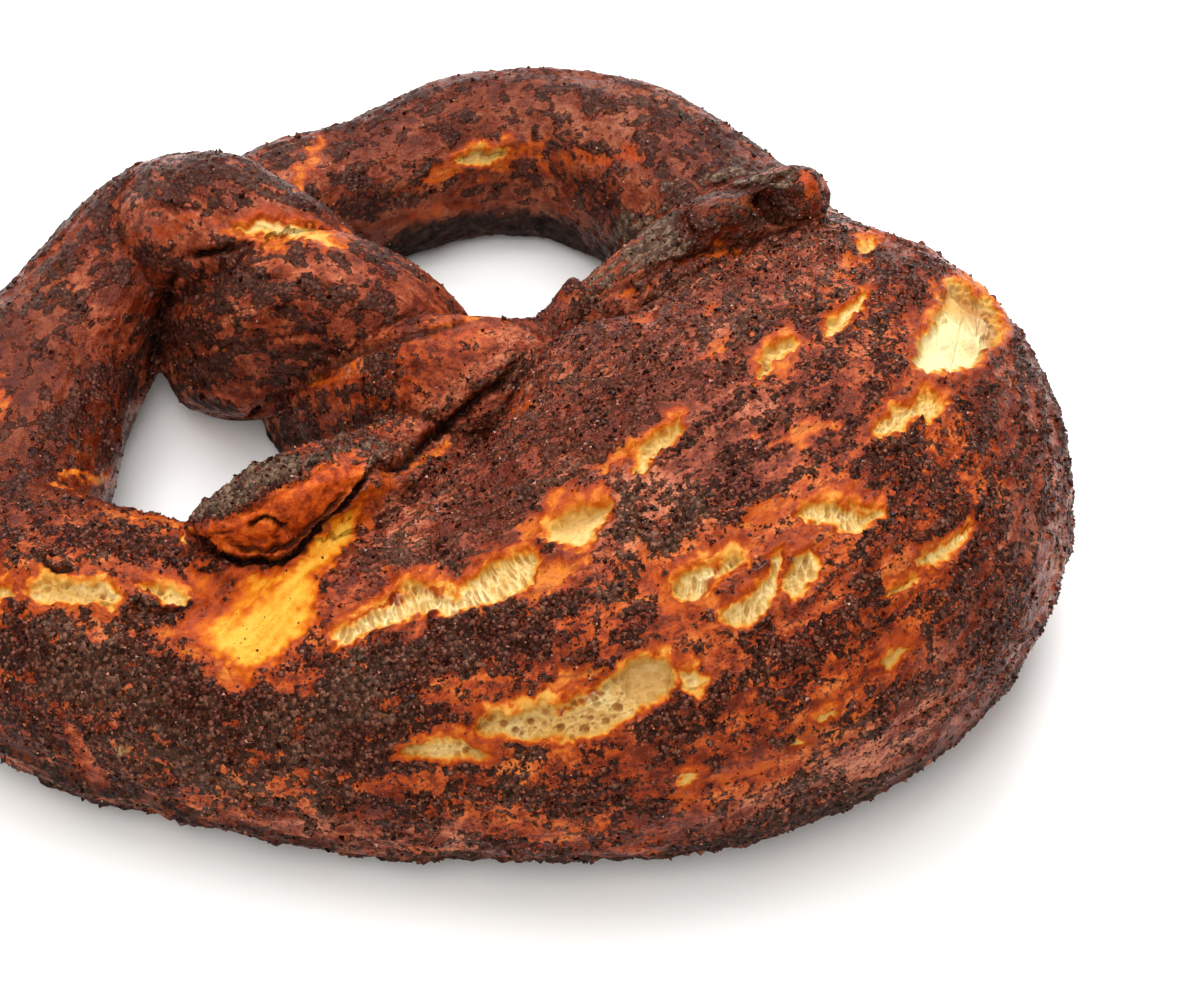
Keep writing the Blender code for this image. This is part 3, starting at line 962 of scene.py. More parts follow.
def build_skin():
    rope = Rope()
    v, f = make_body_mesh(rope)
    s, u, w = rope_places(rope, v)
    tree = tree_of(v, f)
    v = push_skin(v, tree)
    n = normals_of(v, f)
    if PUSHES:
        tree = tree_of(v, f)
    seen, _ = seen_from_camera(tree, v, n)
    # the pale patch by the twist runs through a fold that hides a little of it
    for x, y in (262, 226), (288, 231), (316, 238):
        hit = tree.ray_cast(Vector(CAM_PLACE), Vector(picture_ray(x, y)))[0]
        if hit is not None:
            seen[np.linalg.norm(v - np.array(hit), axis=1) < 4.0] = 1.0

    # the notches under the arms are bridged by dough
    xy = to_picture(v)
    soft = relax(v, f, 60)
    outward = ease(0.0, 0.15, np.einsum("ij,ij->i", soft - v, n)) * seen
    for line, half in BRIDGED:
        d = np.full(len(v), 1e9)
        for a, b in zip(line[:-1], line[1:]):
            d = np.minimum(d, line_distance(xy, a, b)[0])
        v = v + (ease(1.6, 0.7, d / half) * outward)[:, None] * (soft - v)
    n = normals_of(v, f)

    # how deep each place lies between swellings, about 3 mm wide
    soft = relax(v, f, 14)
    hollowness = np.einsum("ij,ij->i", soft - v, n)

    data = np.column_stack((v, s, u, w, seen, hollowness))
    for reach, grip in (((-8.0, 2.6), (-3.0, 1.5))):
        xy = to_picture(data[:, :3])
        visible = data[:, 6] > 0.5
        d, _, _ = nearest_tear(xy, visible)
        near, _, _ = groove_reach(xy, visible)
        flag = (d > reach) | (near < grip)
        if reach < -3.5:
            sel = np.flatnonzero(visible & (xy[:, 0] < 400) & (xy[:, 1] > 480))
            flag[sel] |= outline_distance(xy[sel], DOUGH) > -4
        data, f = refine(data, f, flag)
    v, s, u, w = data[:, :3].copy(), data[:, 3], data[:, 4], data[:, 5]
    seen, hollowness = data[:, 6] > 0.5, data[:, 7]
    n = normals_of(v, f)
    to_cam = CAM_PLACE - v
    to_cam /= np.linalg.norm(to_cam, axis=1)[:, None]
    along = np.column_stack((s, u, w))

    # jagged edges: the picture's place of each point, shaken a little
    xy = to_picture(v)
    ragged = np.column_stack(
        (
            2.4 * noise(v, 3.1, 15) + 2.0 * noise(v, 1.4, 11) + 1.9 * noise(v, 0.6, 12),
            2.4 * noise(v, 3.1, 16) + 2.0 * noise(v, 1.4, 13) + 1.9 * noise(v, 0.6, 14),
        )
    )
    d_tear, which, room = nearest_tear(xy + ragged, seen)
    # the crust over a tear is stretched wider than under it
    above, _, _ = nearest_tear(xy + ragged * 1.5 + (0.0, 9.0), seen)
    # painted shade along the creases, where shade falls between the swellings
    _, cut, crease_shade = groove_reach(xy + 0.5 * ragged, seen)

    dough = np.zeros(len(v))
    sel = np.flatnonzero(seen & (d_tear < 90) & (xy[:, 0] < 430) & (xy[:, 1] > 440))
    d_dough = outline_distance(xy[sel] + 1.5 * ragged[sel], DOUGH)
    # pulled threads run from the lower left to the upper right
    pull = xy[sel] @ np.array(((0.64, 0.77), (-0.77, 0.64)))
    flow = np.column_stack((pull[:, 0] / 34.0, pull[:, 1] / 6.5, 0 * d_dough))
    thread = noise(flow, 1.0, 23) + 0.6 * noise(flow * (1.7, 2.3, 1.0), 1.0, 24)
    blotch = noise(v[sel], 4.5, 25)
    bright, _ = line_distance(xy[sel] + 3 * ragged[sel], (252, 648), (345, 522))
    full = ease(-4, 18, d_dough) * ease(66, 4, bright)
    dough[sel] = ease(-7, 5, d_dough) * np.clip(
        0.26 + 0.76 * full + 0.08 * thread + 0.14 * blotch, 0.1, 1
    )
    hollow = np.zeros(len(v))
    hollow[sel] = ease(-14, 34, d_dough)
    near_arm = np.ones(len(v))
    near_arm[sel] = ease(-4.0, -34.0, d_dough)
    ripple = np.zeros(len(v))
    ripple[sel] = ease(-4, 8, d_dough) * thread

    glow = np.zeros(len(v))
    sunk = np.zeros(len(v))
    shake = 0.42 * noise(along, (5.0, 1.6, 1.6), 21) + 0.34 * noise(v, 0.9, 22)
    for a, b, half, strength, depth in STRETCHES:
        lo = np.minimum(a, b) - 2 * half
        hi = np.maximum(a, b) + 2 * half
        sel = np.flatnonzero(seen & ((xy > lo) & (xy < hi)).all(1))
        d, t = line_distance(xy[sel] + 1.6 * ragged[sel], a, b)
        taper = 0.55 + 0.45 * np.sin(math.pi * t)
        g = ease(1.35, 0.10, d / (half * taper) + shake[sel])
        glow[sel] = np.maximum(glow[sel], strength * g)
        sunk[sel] = np.where(
            np.abs(depth * g) > np.abs(sunk[sel]), depth * g, sunk[sel]
        )

    share = np.where(
        seen, CRUST_SHARE, CRUST_SHARE + 0.30 * noise(along, (26.0, 12.0, 12.0), 31)
    )
    shake = 0.30 * noise(v, 4.0, 32) + 0.2 * noise(v, 1.8, 33)
    for a, b, half, amount in STROKES:
        lo = np.minimum(a, b) - 1.7 * half
        hi = np.maximum(a, b) + 1.7 * half
        sel = np.flatnonzero(seen & ((xy > lo) & (xy < hi)).all(1))
        d, _ = line_distance(xy[sel], a, b)
        g = ease(1.35, 0.65, d / half + shake[sel])
        share[sel] = mix(share[sel], amount, g)
    bare = np.zeros(len(v))
    for outline, much in ((ARM_FACE, 1.0), (TIP_FACE, 0.9), (LOBE_FACE, 0.25)):
        o = np.array(outline, float)
        sel = np.flatnonzero(seen & ((xy > o.min(0) - 20) & (xy < o.max(0) + 20)).all(1))
        bare[sel] = np.maximum(
            bare[sel],
            much * ease(-3, 4, outline_distance(xy[sel] + 1.5 * ragged[sel], outline)),
        )
    # the feet: a burnt rim, with painted shade where the undersides turn toward the floor
    foot = np.zeros(len(v))
    for a, b, half, much in FEET:
        d, _ = line_distance(xy + 1.5 * ragged, a, b)
        foot = np.maximum(foot, much * seen * ease(1.5, 0.7, d / half) * ease(18.0, 11.0, v[:, 2]))
    tan = np.zeros(len(v))
    d = np.linalg.norm(xy - TAN_CLUMP + 1.4 * ragged, axis=1)
    tan[:] = seen * ease(8.5, 4.0, d)
    below, _, _ = nearest_tear(xy + ragged + (0.0, -7.0), seen)
    inner = np.minimum(d_tear, 0.8 * below + 5.0)
    for a, b, half in SEPTA:
        d, _ = line_distance(xy + ragged, a, b)
        inner = inner - 7.0 * np.exp(-((d / half) ** 2)) * (d_tear > 0)
    outer = np.maximum(
        np.where(which == 10, 0.9, 2.2) * d_tear,
        above - 2.0 + 4.0 * noise(along, (5.0, 1.3, 1.3), 17),
    )
    clear = np.clip(
        1 - 1.25 * glow - 1.6 * ease(0.0, 0.25, dough) - 1.3 * ease(-10, -2, outer)
        - 0.93 * bare - 0.5 * ease(0.3, 0.8, crease_shade), 0, 1
    )
    share = np.clip(0.93 * share, 0, 0.92) * clear

    # the dark sugar crust: clumps drawn out along the rope
    field = (
        0.50 * noise(along * (0.45, 1, 1), 2.6, 41)
        + 0.50 * noise(along * (0.6, 1, 1), 1.35, 42)
        + 0.40 * noise(v, 0.8, 43)
    )
    shares = np.linspace(0, 1, 101)
    bar = np.interp(1 - share, shares, np.quantile(field[::7], shares))
    crust = ease(-0.34, 0.34, field - bar) * ease(0.0, 0.05, share)

    # ---- relief, along the surface's own direction ----
    rise = 0.50 * noise(v, 15.0, 51, 2) + 0.20 * noise(along, (9.0, 3.6, 3.6), 52)
    fold = 1 - np.abs(noise(along, (15.0, 2.6, 2.6), 53))
    rise -= 0.22 * ease(0.80, 1.0, fold) * (1 - dough)
    crease = 1 - np.abs(noise(along, (8.0, 1.5, 1.5), 56))
    rise -= 0.20 * ease(0.80, 1.0, crease) * (1 - dough)
    ridge = 1 - np.abs(noise(along * (0.4, 1, 1), 1.9, 57))
    melt = ease(-2.0, 14.0, v[:, 1])
    rise += (1 - 0.5 * melt) * ease(0.25, 0.8, crust) * (
        0.18 + 0.24 * ease(0.55, 1.0, ridge) + 0.20 * noise(v, 1.1, 54)
        + 0.15 * noise(v, 0.65, 55)
    )
    rise -= sunk
    rise -= 0.05 * ripple
    rise += 0.35 * np.exp(-(((d_tear + 5.0) / 4.0) ** 2)) * (which >= 0)
    rise *= ease(0.0, 2.0, v[:, 2])
    moved = v + n * rise[:, None]
    over = moved[:, 2] - 41.2
    moved[:, 2] = np.where(over > 0, 41.2 + 0.5 * over, moved[:, 2])

    # ---- tears and the dough's hollow go in between the normal and the view ----
    inward = -(0.45 * n + 0.55 * to_cam)
    inward /= np.linalg.norm(inward, axis=1)[:, None]
    depth = np.maximum(1.2 * hollow, cut)
    pore_shade = np.zeros(len(v))
    sel = np.flatnonzero(d_tear > -3.0)
    p, q, k, d = v[sel], xy[sel], which[sel], d_tear[sel]
    kinds = np.array([t[0] for t in TEARS])[k]
    deep = np.array([t[1] for t in TEARS])[k]
    reach = np.minimum(9.0, 0.8 * room[sel])
    floor = 0.62 * deep * ease(-1.0, reach, d)
    inside = ease(0.5, 5.0, d)
    big = noise(p, 3.2, 65)
    # bubbles: round ones of two sizes, and ones drawn out up the tear
    d1, d2 = cells(p, 1.25, 61)
    e1, e2 = cells(p, 0.66, 62)
    tilt = 0.30 * noise(p, 6.0, 68) + 0.16
    middles = np.array([np.mean(t[2], axis=0) for t in TEARS])[k]
    off = q - middles
    sway = np.column_stack(
        (
            (off[:, 0] - tilt * off[:, 1]) / 5.6 + 0.10 * noise(p, 1.6, 63),
            off[:, 1] / 22.0 + 0.10 * noise(p, 2.2, 64),
            0.31 * k + 0.5,
        )
    )
    g1, g2 = cells(sway, 1.0, 69)
    some = ease(0.0, 0.5, noise(p, 2.4, 66))
    round_hole = ease(0.46, 0.14, d1) * some
    small = ease(0.42, 0.12, e1)
    wall = ease(0.20, 0.0, d2 - d1)
    drawn = ease(0.50, 0.10, g1)
    thread = ease(0.24, 0.0, g2 - g1)
    porous, fibre = kinds == "porous", kinds == "fibre"
    slab, plain = kinds == "slab", kinds == "smooth"
    wave = porous * (0.50 * round_hole + 0.30 * small - 0.18 * wall + 0.45 * big)
    wave += fibre * (0.42 * drawn - 0.30 * thread + 0.25 * round_hole + 0.16 * small + 0.40 * big)
    fold = ease(0.80, 1.0, 1 - np.abs(noise(p, (3.4, 4.6, 3.4), 67)))
    plate = noise(p, 3.6, 73)
    wave += slab * (0.55 * plate - 0.45 * fold + 0.20 * big + 0.06 * small)
    wave += plain * (0.22 * big + 0.08 * small)
    wave[k == 27] = 0.0
    depth[sel] = np.maximum(depth[sel], floor + inside * wave)
    # painted shade in the pores and drawn bubbles, and on the slab's side away from its bright spot
    pore_shade[sel] = inside * np.clip(
        porous * (0.60 * round_hole + 0.45 * small - 0.35 * wall + 0.12)
        + fibre * (0.42 * drawn + 0.40 * round_hole + 0.26 * small - 0.40 * thread)
        + plain * (0.25 * small + 0.22 * ease(0.2, 0.9, big)) * (k != 27)
        + slab * ease(28, 60, np.linalg.norm(q - (940, 352), axis=1))
        * (0.25 + 0.5 * ease(-0.2, 0.6, plate)),
        0,
        1,
    )
    # painted highlight on the crumb: on threads and walls and on the slab's lit side round its bright spot,
    # with paler crumb in random patches
    lit = np.linalg.norm((q - (945, 352)) * (0.8, 1.0), axis=1)
    pale = np.zeros(len(v))
    pale[sel] = ease(2.0, 7.0, d) * np.clip(
        porous * (0.16 * wall + 0.60 * ease(-0.1, 0.8, -big))
        + fibre * (0.65 * thread + 0.35 * ease(0.1, 0.9, -big))
        + slab * (1.1 * ease(58, 34, lit + 10 * big) + 0.25 * fold)
        + plain * 0.35 * ease(0.0, 0.8, -big),
        0,
        1,
    )
    for (x, y), radius, deep_by in BOWLS:
        d = np.linalg.norm((q - (x, y)) * (1.0, 1.15), axis=1) / radius
        d = d + 0.10 * big + 0.08 * noise(p, 1.0, 70)
        bowl = np.sqrt(np.clip(1 - d**2, 0, 1)) * (k == 3)
        depth[sel] = np.maximum(depth[sel] - 0.5 * deep_by * wave * bowl, 0) + deep_by * bowl
        # painted shade in the small bowls, a little in the big one
        pore_shade[sel] = np.clip(
            pore_shade[sel] * (1 - 0.8 * bowl * (radius > 9)) + (0.9 if radius < 9 else 0.22) * bowl, 0, 1
        )
    moved += inward * depth[:, None]
    moved[:, 2] = np.maximum(moved[:, 2], 0.0)

    torn = np.where(
        d_tear > 0, 0.5 + 0.5 * inner / np.minimum(10.0, np.maximum(3.5, room)),
        0.5 + np.minimum(outer, 0.0) / 28.0,
    )
    skin = Skin()
    skin.v, skin.f, skin.rope = moved, f, rope
    skin.n = normals_of(moved, f)
    skin.at, skin.seen, skin.crust, skin.share = along, seen, crust, share
    skin.depth, skin.tear = depth, d_tear
    # painted shade in the hollows between swellings, left out in the tears and on and near the dough
    hollow_shade = ease(0.12, 0.60, hollowness) * near_arm * ease(6.0, -2.0, d_tear)
    combed = np.zeros(len(v))
    for a, b, half in ((420, 520), (640, 340), 95.0), ((660, 310), (790, 255), 45.0):
        combed = np.maximum(combed, seen * ease(1.3, 0.7, line_distance(xy, a, b)[0] / half))
    # a painted pinkish sheen of reflected light: on the combed top, the middle of the belly, the lower flank,
    # the far side and the right end, and in random patches
    sheen_pink = combed.copy()
    for a, b, half in (
        ((560, 520), (740, 430), 62.0), ((280, 826), (470, 836), 16.0),
        ((690, 842), (830, 790), 24.0), ((830, 790), (925, 718), 32.0),
        ((925, 718), (1000, 615), 40.0), ((1000, 615), (1045, 480), 32.0),
    ):
        sheen_pink = np.maximum(sheen_pink, seen * ease(1.4, 0.6, line_distance(xy, a, b)[0] / half))
    sheen_pink = np.maximum(0.9 * sheen_pink, ease(2.0, 26.0, v[:, 1]) * (1 - 0.4 * ease(-26.0, -36.0, v[:, 0])))
    sheen_pink = sheen_pink + 0.9 * ease(50.0, 60.0, v[:, 0]) + 0.4 * ease(0.2, 0.8, noise(v, 14.0, 72))
    # darker within a few mm of the floor: a burnt rim, with painted shade where the sides curl under
    ring = v[:, 2] + 1.3 * noise(v, 5.0, 71)
    torn[(which == 18) | (which == 27)] *= 0.84
    skin.paint = {
        "crust": crust,
        "combed": combed,
        "share": share,
        "torn": np.clip(torn, 0, 1) * (which >= 0),
        "glow": glow,
        "bare": bare,
        "dough": dough,
        "pore_shade": pore_shade,
        "pale": pale,
        "tan": tan,
        "rosy_sheen": np.clip(sheen_pink, 0, 1),
        "melt": melt,
        "dim": np.maximum(
            ease(-4.0, 14.0, v[:, 0]) * ease(14.0, 28.0, v[:, 1]),
            1.3 * ease(-26.0, -38.0, v[:, 0]) * ease(-8.0, 6.0, v[:, 1])
            + 1.6 * seen * ease(1.3, 0.7, line_distance(xy, (690, 232), (780, 206))[0] / 32.0),
        ),
        "shade": np.clip(np.maximum(crease_shade, 0.85 * hollow_shade), 0, 1),
        "flow": along * (0.38, 1.0, 1.0),
        "foot": np.maximum(
            np.maximum(ease(3.8, 1.2, ring), 0.85 * ease(7.5, 3.6, ring) * ease(4.0, -6.0, v[:, 1])),
            foot,
        ),
    }
    return skin


# ---------------------------------------------------------- materials ----
# Under the studio's light a surface shows brighter than its own colour, by this much.
STUDIO_GAIN = 1.34


def rgb(r, g, b):
    """A colour given as it shows in the studio, 0 to 255, as the shader's own colour."""
    out = []
    for c in (r, g, b):
        c = c / 255.0
        c = c / 12.92 if c <= 0.04045 else ((c + 0.055) / 1.055) ** 2.4
        out.append(c / STUDIO_GAIN)
    return (*out, 1.0)


class Shade:
    """Short ways to build a node material."""

    def __init__(self, name):
        self.material = bpy.data.materials.new(name)
        self.material.use_nodes = True
        self.nodes = self.material.node_tree.nodes
        self.links = self.material.node_tree.links
        self.bsdf = self.nodes["Principled BSDF"]
        self.place = self.nodes.new("ShaderNodeTexCoord").outputs["Object"]

    def set(self, name, value):
        socket = self.bsdf.inputs[name]
        if isinstance(value, bpy.types.NodeSocket):
            self.links.new(value, socket)
        else:
            socket.default_value = value

    def feed(self, socket, value):
        if isinstance(value, bpy.types.NodeSocket):
            self.links.new(value, socket)
        else:
            socket.default_value = value

    def attribute(self, name):
        node = self.nodes.new("ShaderNodeAttribute")
        node.attribute_name = name
        return node.outputs["Fac"]

    def noise(self, size_mm, detail=2.0, rough=0.5, warp=0.0, flow=False):
        """Noise in the object's place, or drawn out along the rope."""
        node = self.nodes.new("ShaderNodeTexNoise")
        node.inputs["Scale"].default_value = (1.0 if flow else 1000.0) / size_mm
        node.inputs["Detail"].default_value = detail
        node.inputs["Roughness"].default_value = rough
        node.inputs["Distortion"].default_value = warp
        place = self.place
        if flow:
            field = self.nodes.new("ShaderNodeAttribute")
            field.attribute_name = "flow"
            place = field.outputs["Vector"]
        self.links.new(place, node.inputs["Vector"])
        return node.outputs["Fac"]

    def grains(self, size_mm):
        """A number for each grain of its own, and the distance to its middle."""
        node = self.nodes.new("ShaderNodeTexVoronoi")
        node.inputs["Scale"].default_value = 1000.0 / size_mm
        self.links.new(self.place, node.inputs["Vector"])
        part = self.nodes.new("ShaderNodeSeparateColor")
        self.links.new(node.outputs["Color"], part.inputs[0])
        return part.outputs[0], node.outputs["Distance"]

    def math(self, kind, a, b=0.0, clamp=False):
        node = self.nodes.new("ShaderNodeMath")
        node.operation = kind
        node.use_clamp = clamp
        self.feed(node.inputs[0], a)
        self.feed(node.inputs[1], b)
        return node.outputs[0]

    def span(self, x, a, b, c=0.0, d=1.0):
        node = self.nodes.new("ShaderNodeMapRange")
        node.interpolation_type = "SMOOTHSTEP"
        self.feed(node.inputs["Value"], x)
        for key, value in zip(("From Min", "From Max", "To Min", "To Max"), (a, b, c, d)):
            node.inputs[key].default_value = value
        return node.outputs["Result"]

    def ramp(self, x, stops):
        node = self.nodes.new("ShaderNodeValToRGB")
        e = node.color_ramp.elements
        while len(e) < len(stops):
            e.new(0.5)
        for el, (place, colour) in zip(e, stops):
            el.position = place
            el.color = colour
        self.feed(node.inputs["Fac"], x)
        return node.outputs["Color"]

    def mix(self, t, a, b, kind="MIX"):
        node = self.nodes.new("ShaderNodeMix")
        node.data_type = "RGBA"
        node.blend_type = kind
        self.feed(node.inputs[0], t)
        self.feed(node.inputs[6], a)
        self.feed(node.inputs[7], b)
        return node.outputs[2]

    def mix_value(self, t, a, b):
        node = self.nodes.new("ShaderNodeMix")
        for k, value in enumerate((t, None, a, b)):
            if value is not None:
                self.feed(node.inputs[k], value)
        return node.outputs[0]

    def bump(self, height, distance_mm, strength=1.0):
        node = self.nodes.new("ShaderNodeBump")
        node.inputs["Strength"].default_value = strength
        node.inputs["Distance"].default_value = distance_mm * MM
        self.feed(node.inputs["Height"], height)
        self.links.new(node.outputs["Normal"], self.bsdf.inputs["Normal"])


def crust_material():
    m = Shade("baked_crust")
    crust, torn = m.attribute("crust"), m.attribute("torn")
    glow, dough = m.attribute("glow"), m.attribute("dough")
    pore_shade, foot = m.attribute("pore_shade"), m.attribute("foot")
    bare, shade = m.attribute("bare"), m.attribute("shade")
    melt, combed = m.attribute("melt"), m.attribute("combed")
    share, rosy_sheen, pale = m.attribute("share"), m.attribute("rosy_sheen"), m.attribute("pale")

    wide = m.noise(12.0, 3.0, 0.55, 0.3)
    middle = m.noise(2.3, 4.0, 0.62, 0.25)
    drawn = m.noise(1.7, 4.0, 0.65, 0.3, flow=True)
    rows = m.noise(0.85, 3.0, 0.6, 0.2, flow=True)
    fine = m.noise(0.62, 4.0, 0.66)
    speck = m.noise(1.1, 3.0, 0.7, 0.4)
    tone = m.math("ADD", m.math("MULTIPLY", wide, 0.55), m.math("MULTIPLY", drawn, 0.60))
    tone = m.math("ADD", tone, m.math("MULTIPLY", middle, 0.60))
    tone = m.math("SUBTRACT", tone, 0.375)
    skin = m.ramp(
        tone,
        (
            (0.37, rgb(104, 30, 6)),
            (0.46, rgb(158, 58, 16)),
            (0.54, rgb(194, 84, 28)),
            (0.65, rgb(220, 120, 54)),
        ),
    )
    # stretched skin, orange to yellow
    hot = m.ramp(
        m.math("ADD", glow, m.math("MULTIPLY", m.math("SUBTRACT", middle, 0.5), 0.9)),
        (
            (0.0, rgb(126, 38, 8)),
            (0.4, rgb(162, 56, 12)),
            (0.75, rgb(192, 84, 20)),
            (1.0, rgb(218, 122, 38)),
        ),
    )
    hot = m.mix(m.math("MULTIPLY", m.span(rows, 0.50, 0.66), 0.6), hot, rgb(134, 44, 12))
    hot = m.mix(m.math("MULTIPLY", m.span(fine, 0.54, 0.68), 0.6), hot, rgb(104, 36, 12))
    # the loops and the far side are rosier: a painted pinkish sheen of reflected light
    skin = m.mix(m.math("MULTIPLY", rosy_sheen, m.span(melt, 0.0, 1.0, 0.90, 0.70)), skin, m.ramp(
        tone, ((0.38, rgb(94, 32, 17)), (0.50, rgb(150, 73, 50)), (0.63, rgb(202, 124, 94)))))
    skin = m.mix(m.math("MULTIPLY", m.attribute("dim"), 0.46), skin, rgb(62, 16, 4))
    # freckles of burnt sugar all over the bare skin
    freckled = m.span(melt, 0.0, 1.0, 0.80, 0.40)
    skin = m.mix(m.math("MULTIPLY", m.span(speck, 0.49, 0.62), freckled), skin, rgb(88, 26, 11))
    skin = m.mix(m.math("MULTIPLY", m.span(fine, 0.54, 0.66), freckled), skin, rgb(52, 17, 9))
    colour = m.mix(m.span(glow, 0.08, 0.75), skin, hot)
    # glossy bare ends of the arms
    glaze = m.ramp(
        m.math("ADD", m.math("MULTIPLY", middle, 0.7), m.math("MULTIPLY", fine, 0.3)),
        (
            (0.36, rgb(92, 28, 6)),
            (0.46, rgb(164, 58, 14)),
            (0.55, rgb(206, 88, 22)),
            (0.66, rgb(232, 124, 44)),
        ),
    )
    colour = m.mix(m.span(bare, 0.2, 0.8), colour, glaze)
    yellow = m.ramp(
        m.math("ADD", dough, m.math("MULTIPLY", m.math("SUBTRACT", fine, 0.5), 0.45)),
        (
            (0.0, rgb(136, 42, 6)),
            (0.25, rgb(178, 68, 8)),
            (0.50, rgb(210, 104, 12)),
            (0.74, rgb(232, 148, 30)),
            (1.0, rgb(244, 182, 62)),
        ),
    )
    yellow = m.mix(m.math("MULTIPLY", m.span(fine, 0.63, 0.70), 0.8), yellow, rgb(140, 52, 14))
    yellow = m.mix(m.span(speck, 0.66, 0.74), yellow, rgb(110, 44, 16))
    colour = m.mix(m.span(dough, 0.02, 0.22), colour, yellow)
    # the edge of a tear: dark red, orange, yellow, then pale crumb
    edge = m.math(
        "ADD", torn, m.math("MULTIPLY", m.math("SUBTRACT", middle, 0.5), 0.55)
    )
    edge = m.math("ADD", edge, m.math("MULTIPLY", glow, 0.10))
    crumb = m.ramp(
        edge,
        (
            (0.08, rgb(100, 30, 10)),
            (0.30, rgb(140, 48, 10)),
            (0.45, rgb(176, 68, 10)),
            (0.54, rgb(212, 112, 24)),
            (0.63, rgb(228, 164, 68)),
            (0.76, rgb(230, 188, 104)),
            (1.0, rgb(226, 186, 114)),
        ),
    )
    # painted highlight on the crumb's threads and walls and the slab's lit side, with paler crumb in random
    # patches
    crumb = m.mix(m.math("MULTIPLY", pale, 0.85), crumb, rgb(242, 222, 164))
    crumb = m.mix(m.span(pale, 0.72, 0.95), crumb, rgb(246, 230, 172))
    # painted shade in the pores of the crumb
    crumb = m.mix(m.math("MULTIPLY", pore_shade, 0.80), crumb, rgb(168, 88, 24))
    colour = m.mix(m.span(torn, 0.06, 0.42), colour, crumb)
    # painted shade in the creases and hollows; the foot is painted darker further down
    colour = m.mix(m.span(shade, 0.05, 0.95), colour, rgb(26, 9, 5))

    # dark sugar crust: a red-brown stain, then clumps of fused grains with painted shade in the gaps between
    # them
    ragged = m.math("ADD", m.math("MULTIPLY", crust, 0.60), m.math("MULTIPLY", share, 0.22))
    for field, round_, row, far in (
        (drawn, 1.0, 3.4, 2.0), (middle, 1.6, 1.6, 2.4), (rows, 0.9, 3.0, 0.9),
        (speck, 2.4, 0.9, 1.2), (fine, 1.8, 0.9, 1.1),
    ):
        much = m.math("ADD", m.span(combed, 0.0, 1.0, round_, row), m.span(melt, 0.0, 1.0, 0.0, far - round_))
        ragged = m.math(
            "ADD", ragged, m.math("MULTIPLY", m.math("SUBTRACT", field, 0.5), much)
        )
    ragged = m.math("ADD", ragged, m.span(share, 0.81, 0.86, 0.0, 0.30))
    ragged = m.math("SUBTRACT", ragged, m.math("MULTIPLY", combed, 0.13))
    ragged = m.math("MULTIPLY", ragged, m.span(share, 0.04, 0.16))
    stain = m.math("MULTIPLY", m.span(ragged, 0.16, 0.50), 0.80)
    stain = m.math("MULTIPLY", stain, m.span(m.math("SUBTRACT", rosy_sheen, melt), 0.0, 1.0, 1.0, 0.50))
    colour = m.mix(stain, colour, m.ramp(fine, ((0.4, rgb(78, 26, 12)), (0.6, rgb(130, 54, 30)))))
    cover = m.mix_value(melt, m.span(ragged, 0.46, 0.60), m.span(ragged, 0.41, 0.67))
    own, grit = m.grains(0.52)
    dark = m.ramp(
        m.math("ADD", m.math("MULTIPLY", own, 0.40), m.math("MULTIPLY", speck, 0.60)),
        (
            (0.30, rgb(24, 6, 2)),
            (0.43, rgb(46, 14, 6)),
            (0.54, rgb(74, 32, 21)),
            (0.64, rgb(114, 62, 46)),
            (0.74, rgb(144, 92, 74)),
        ),
    )
    # painted shade in the gaps between the grains
    dark = m.mix(m.span(grit, 0.40, 0.85), dark, rgb(30, 9, 5))
    # painted highlight on the grains' middles in the combed rows
    light = m.math("MULTIPLY", m.span(own, 0.35, 0.75), m.span(grit, 0.62, 0.28))
    dark = m.mix(m.math("MULTIPLY", m.math("MULTIPLY", combed, light), 0.50), dark, rgb(134, 84, 66))
    dark = m.mix(m.math("MULTIPLY", combed, m.span(rows, 0.46, 0.56, 0.0, 0.35)), dark, rgb(118, 58, 40))
    dark = m.mix(m.math("MULTIPLY", melt, 0.55), dark, m.ramp(
        drawn, ((0.38, rgb(26, 9, 8)), (0.52, rgb(52, 22, 18)), (0.64, rgb(96, 52, 42)))))
    # the thickest crust gets a dull grey-green painted sheen of reflected sky
    grey_sheen = m.math("MULTIPLY", m.span(wide, 0.48, 0.60), m.span(melt, 0.0, 1.0, 0.35, 0.12))
    grey_sheen = m.math("MULTIPLY", m.math("MAXIMUM", grey_sheen, m.span(share, 0.884, 0.898)), share)
    dark = m.mix(grey_sheen, dark, m.ramp(
        own, ((0.1, rgb(56, 40, 29)), (0.6, rgb(96, 75, 58)), (1.0, rgb(142, 117, 95)))))
    colour = m.mix(m.math("MULTIPLY", cover, 0.95), colour, dark)
    # the foot goes grey-black: a burnt rim, with painted shade where the undersides turn toward the floor
    colour = m.mix(m.math("MULTIPLY", foot, 0.92), colour, m.ramp(
        speck, ((0.40, rgb(9, 7, 6)), (0.52, rgb(23, 18, 17)), (0.62, rgb(56, 46, 42)))))
    colour = m.mix(m.attribute("tan"), colour, m.ramp(own, ((0.2, rgb(112, 66, 34)), (0.9, rgb(190, 150, 96)))))
    m.set("Base Color", colour)

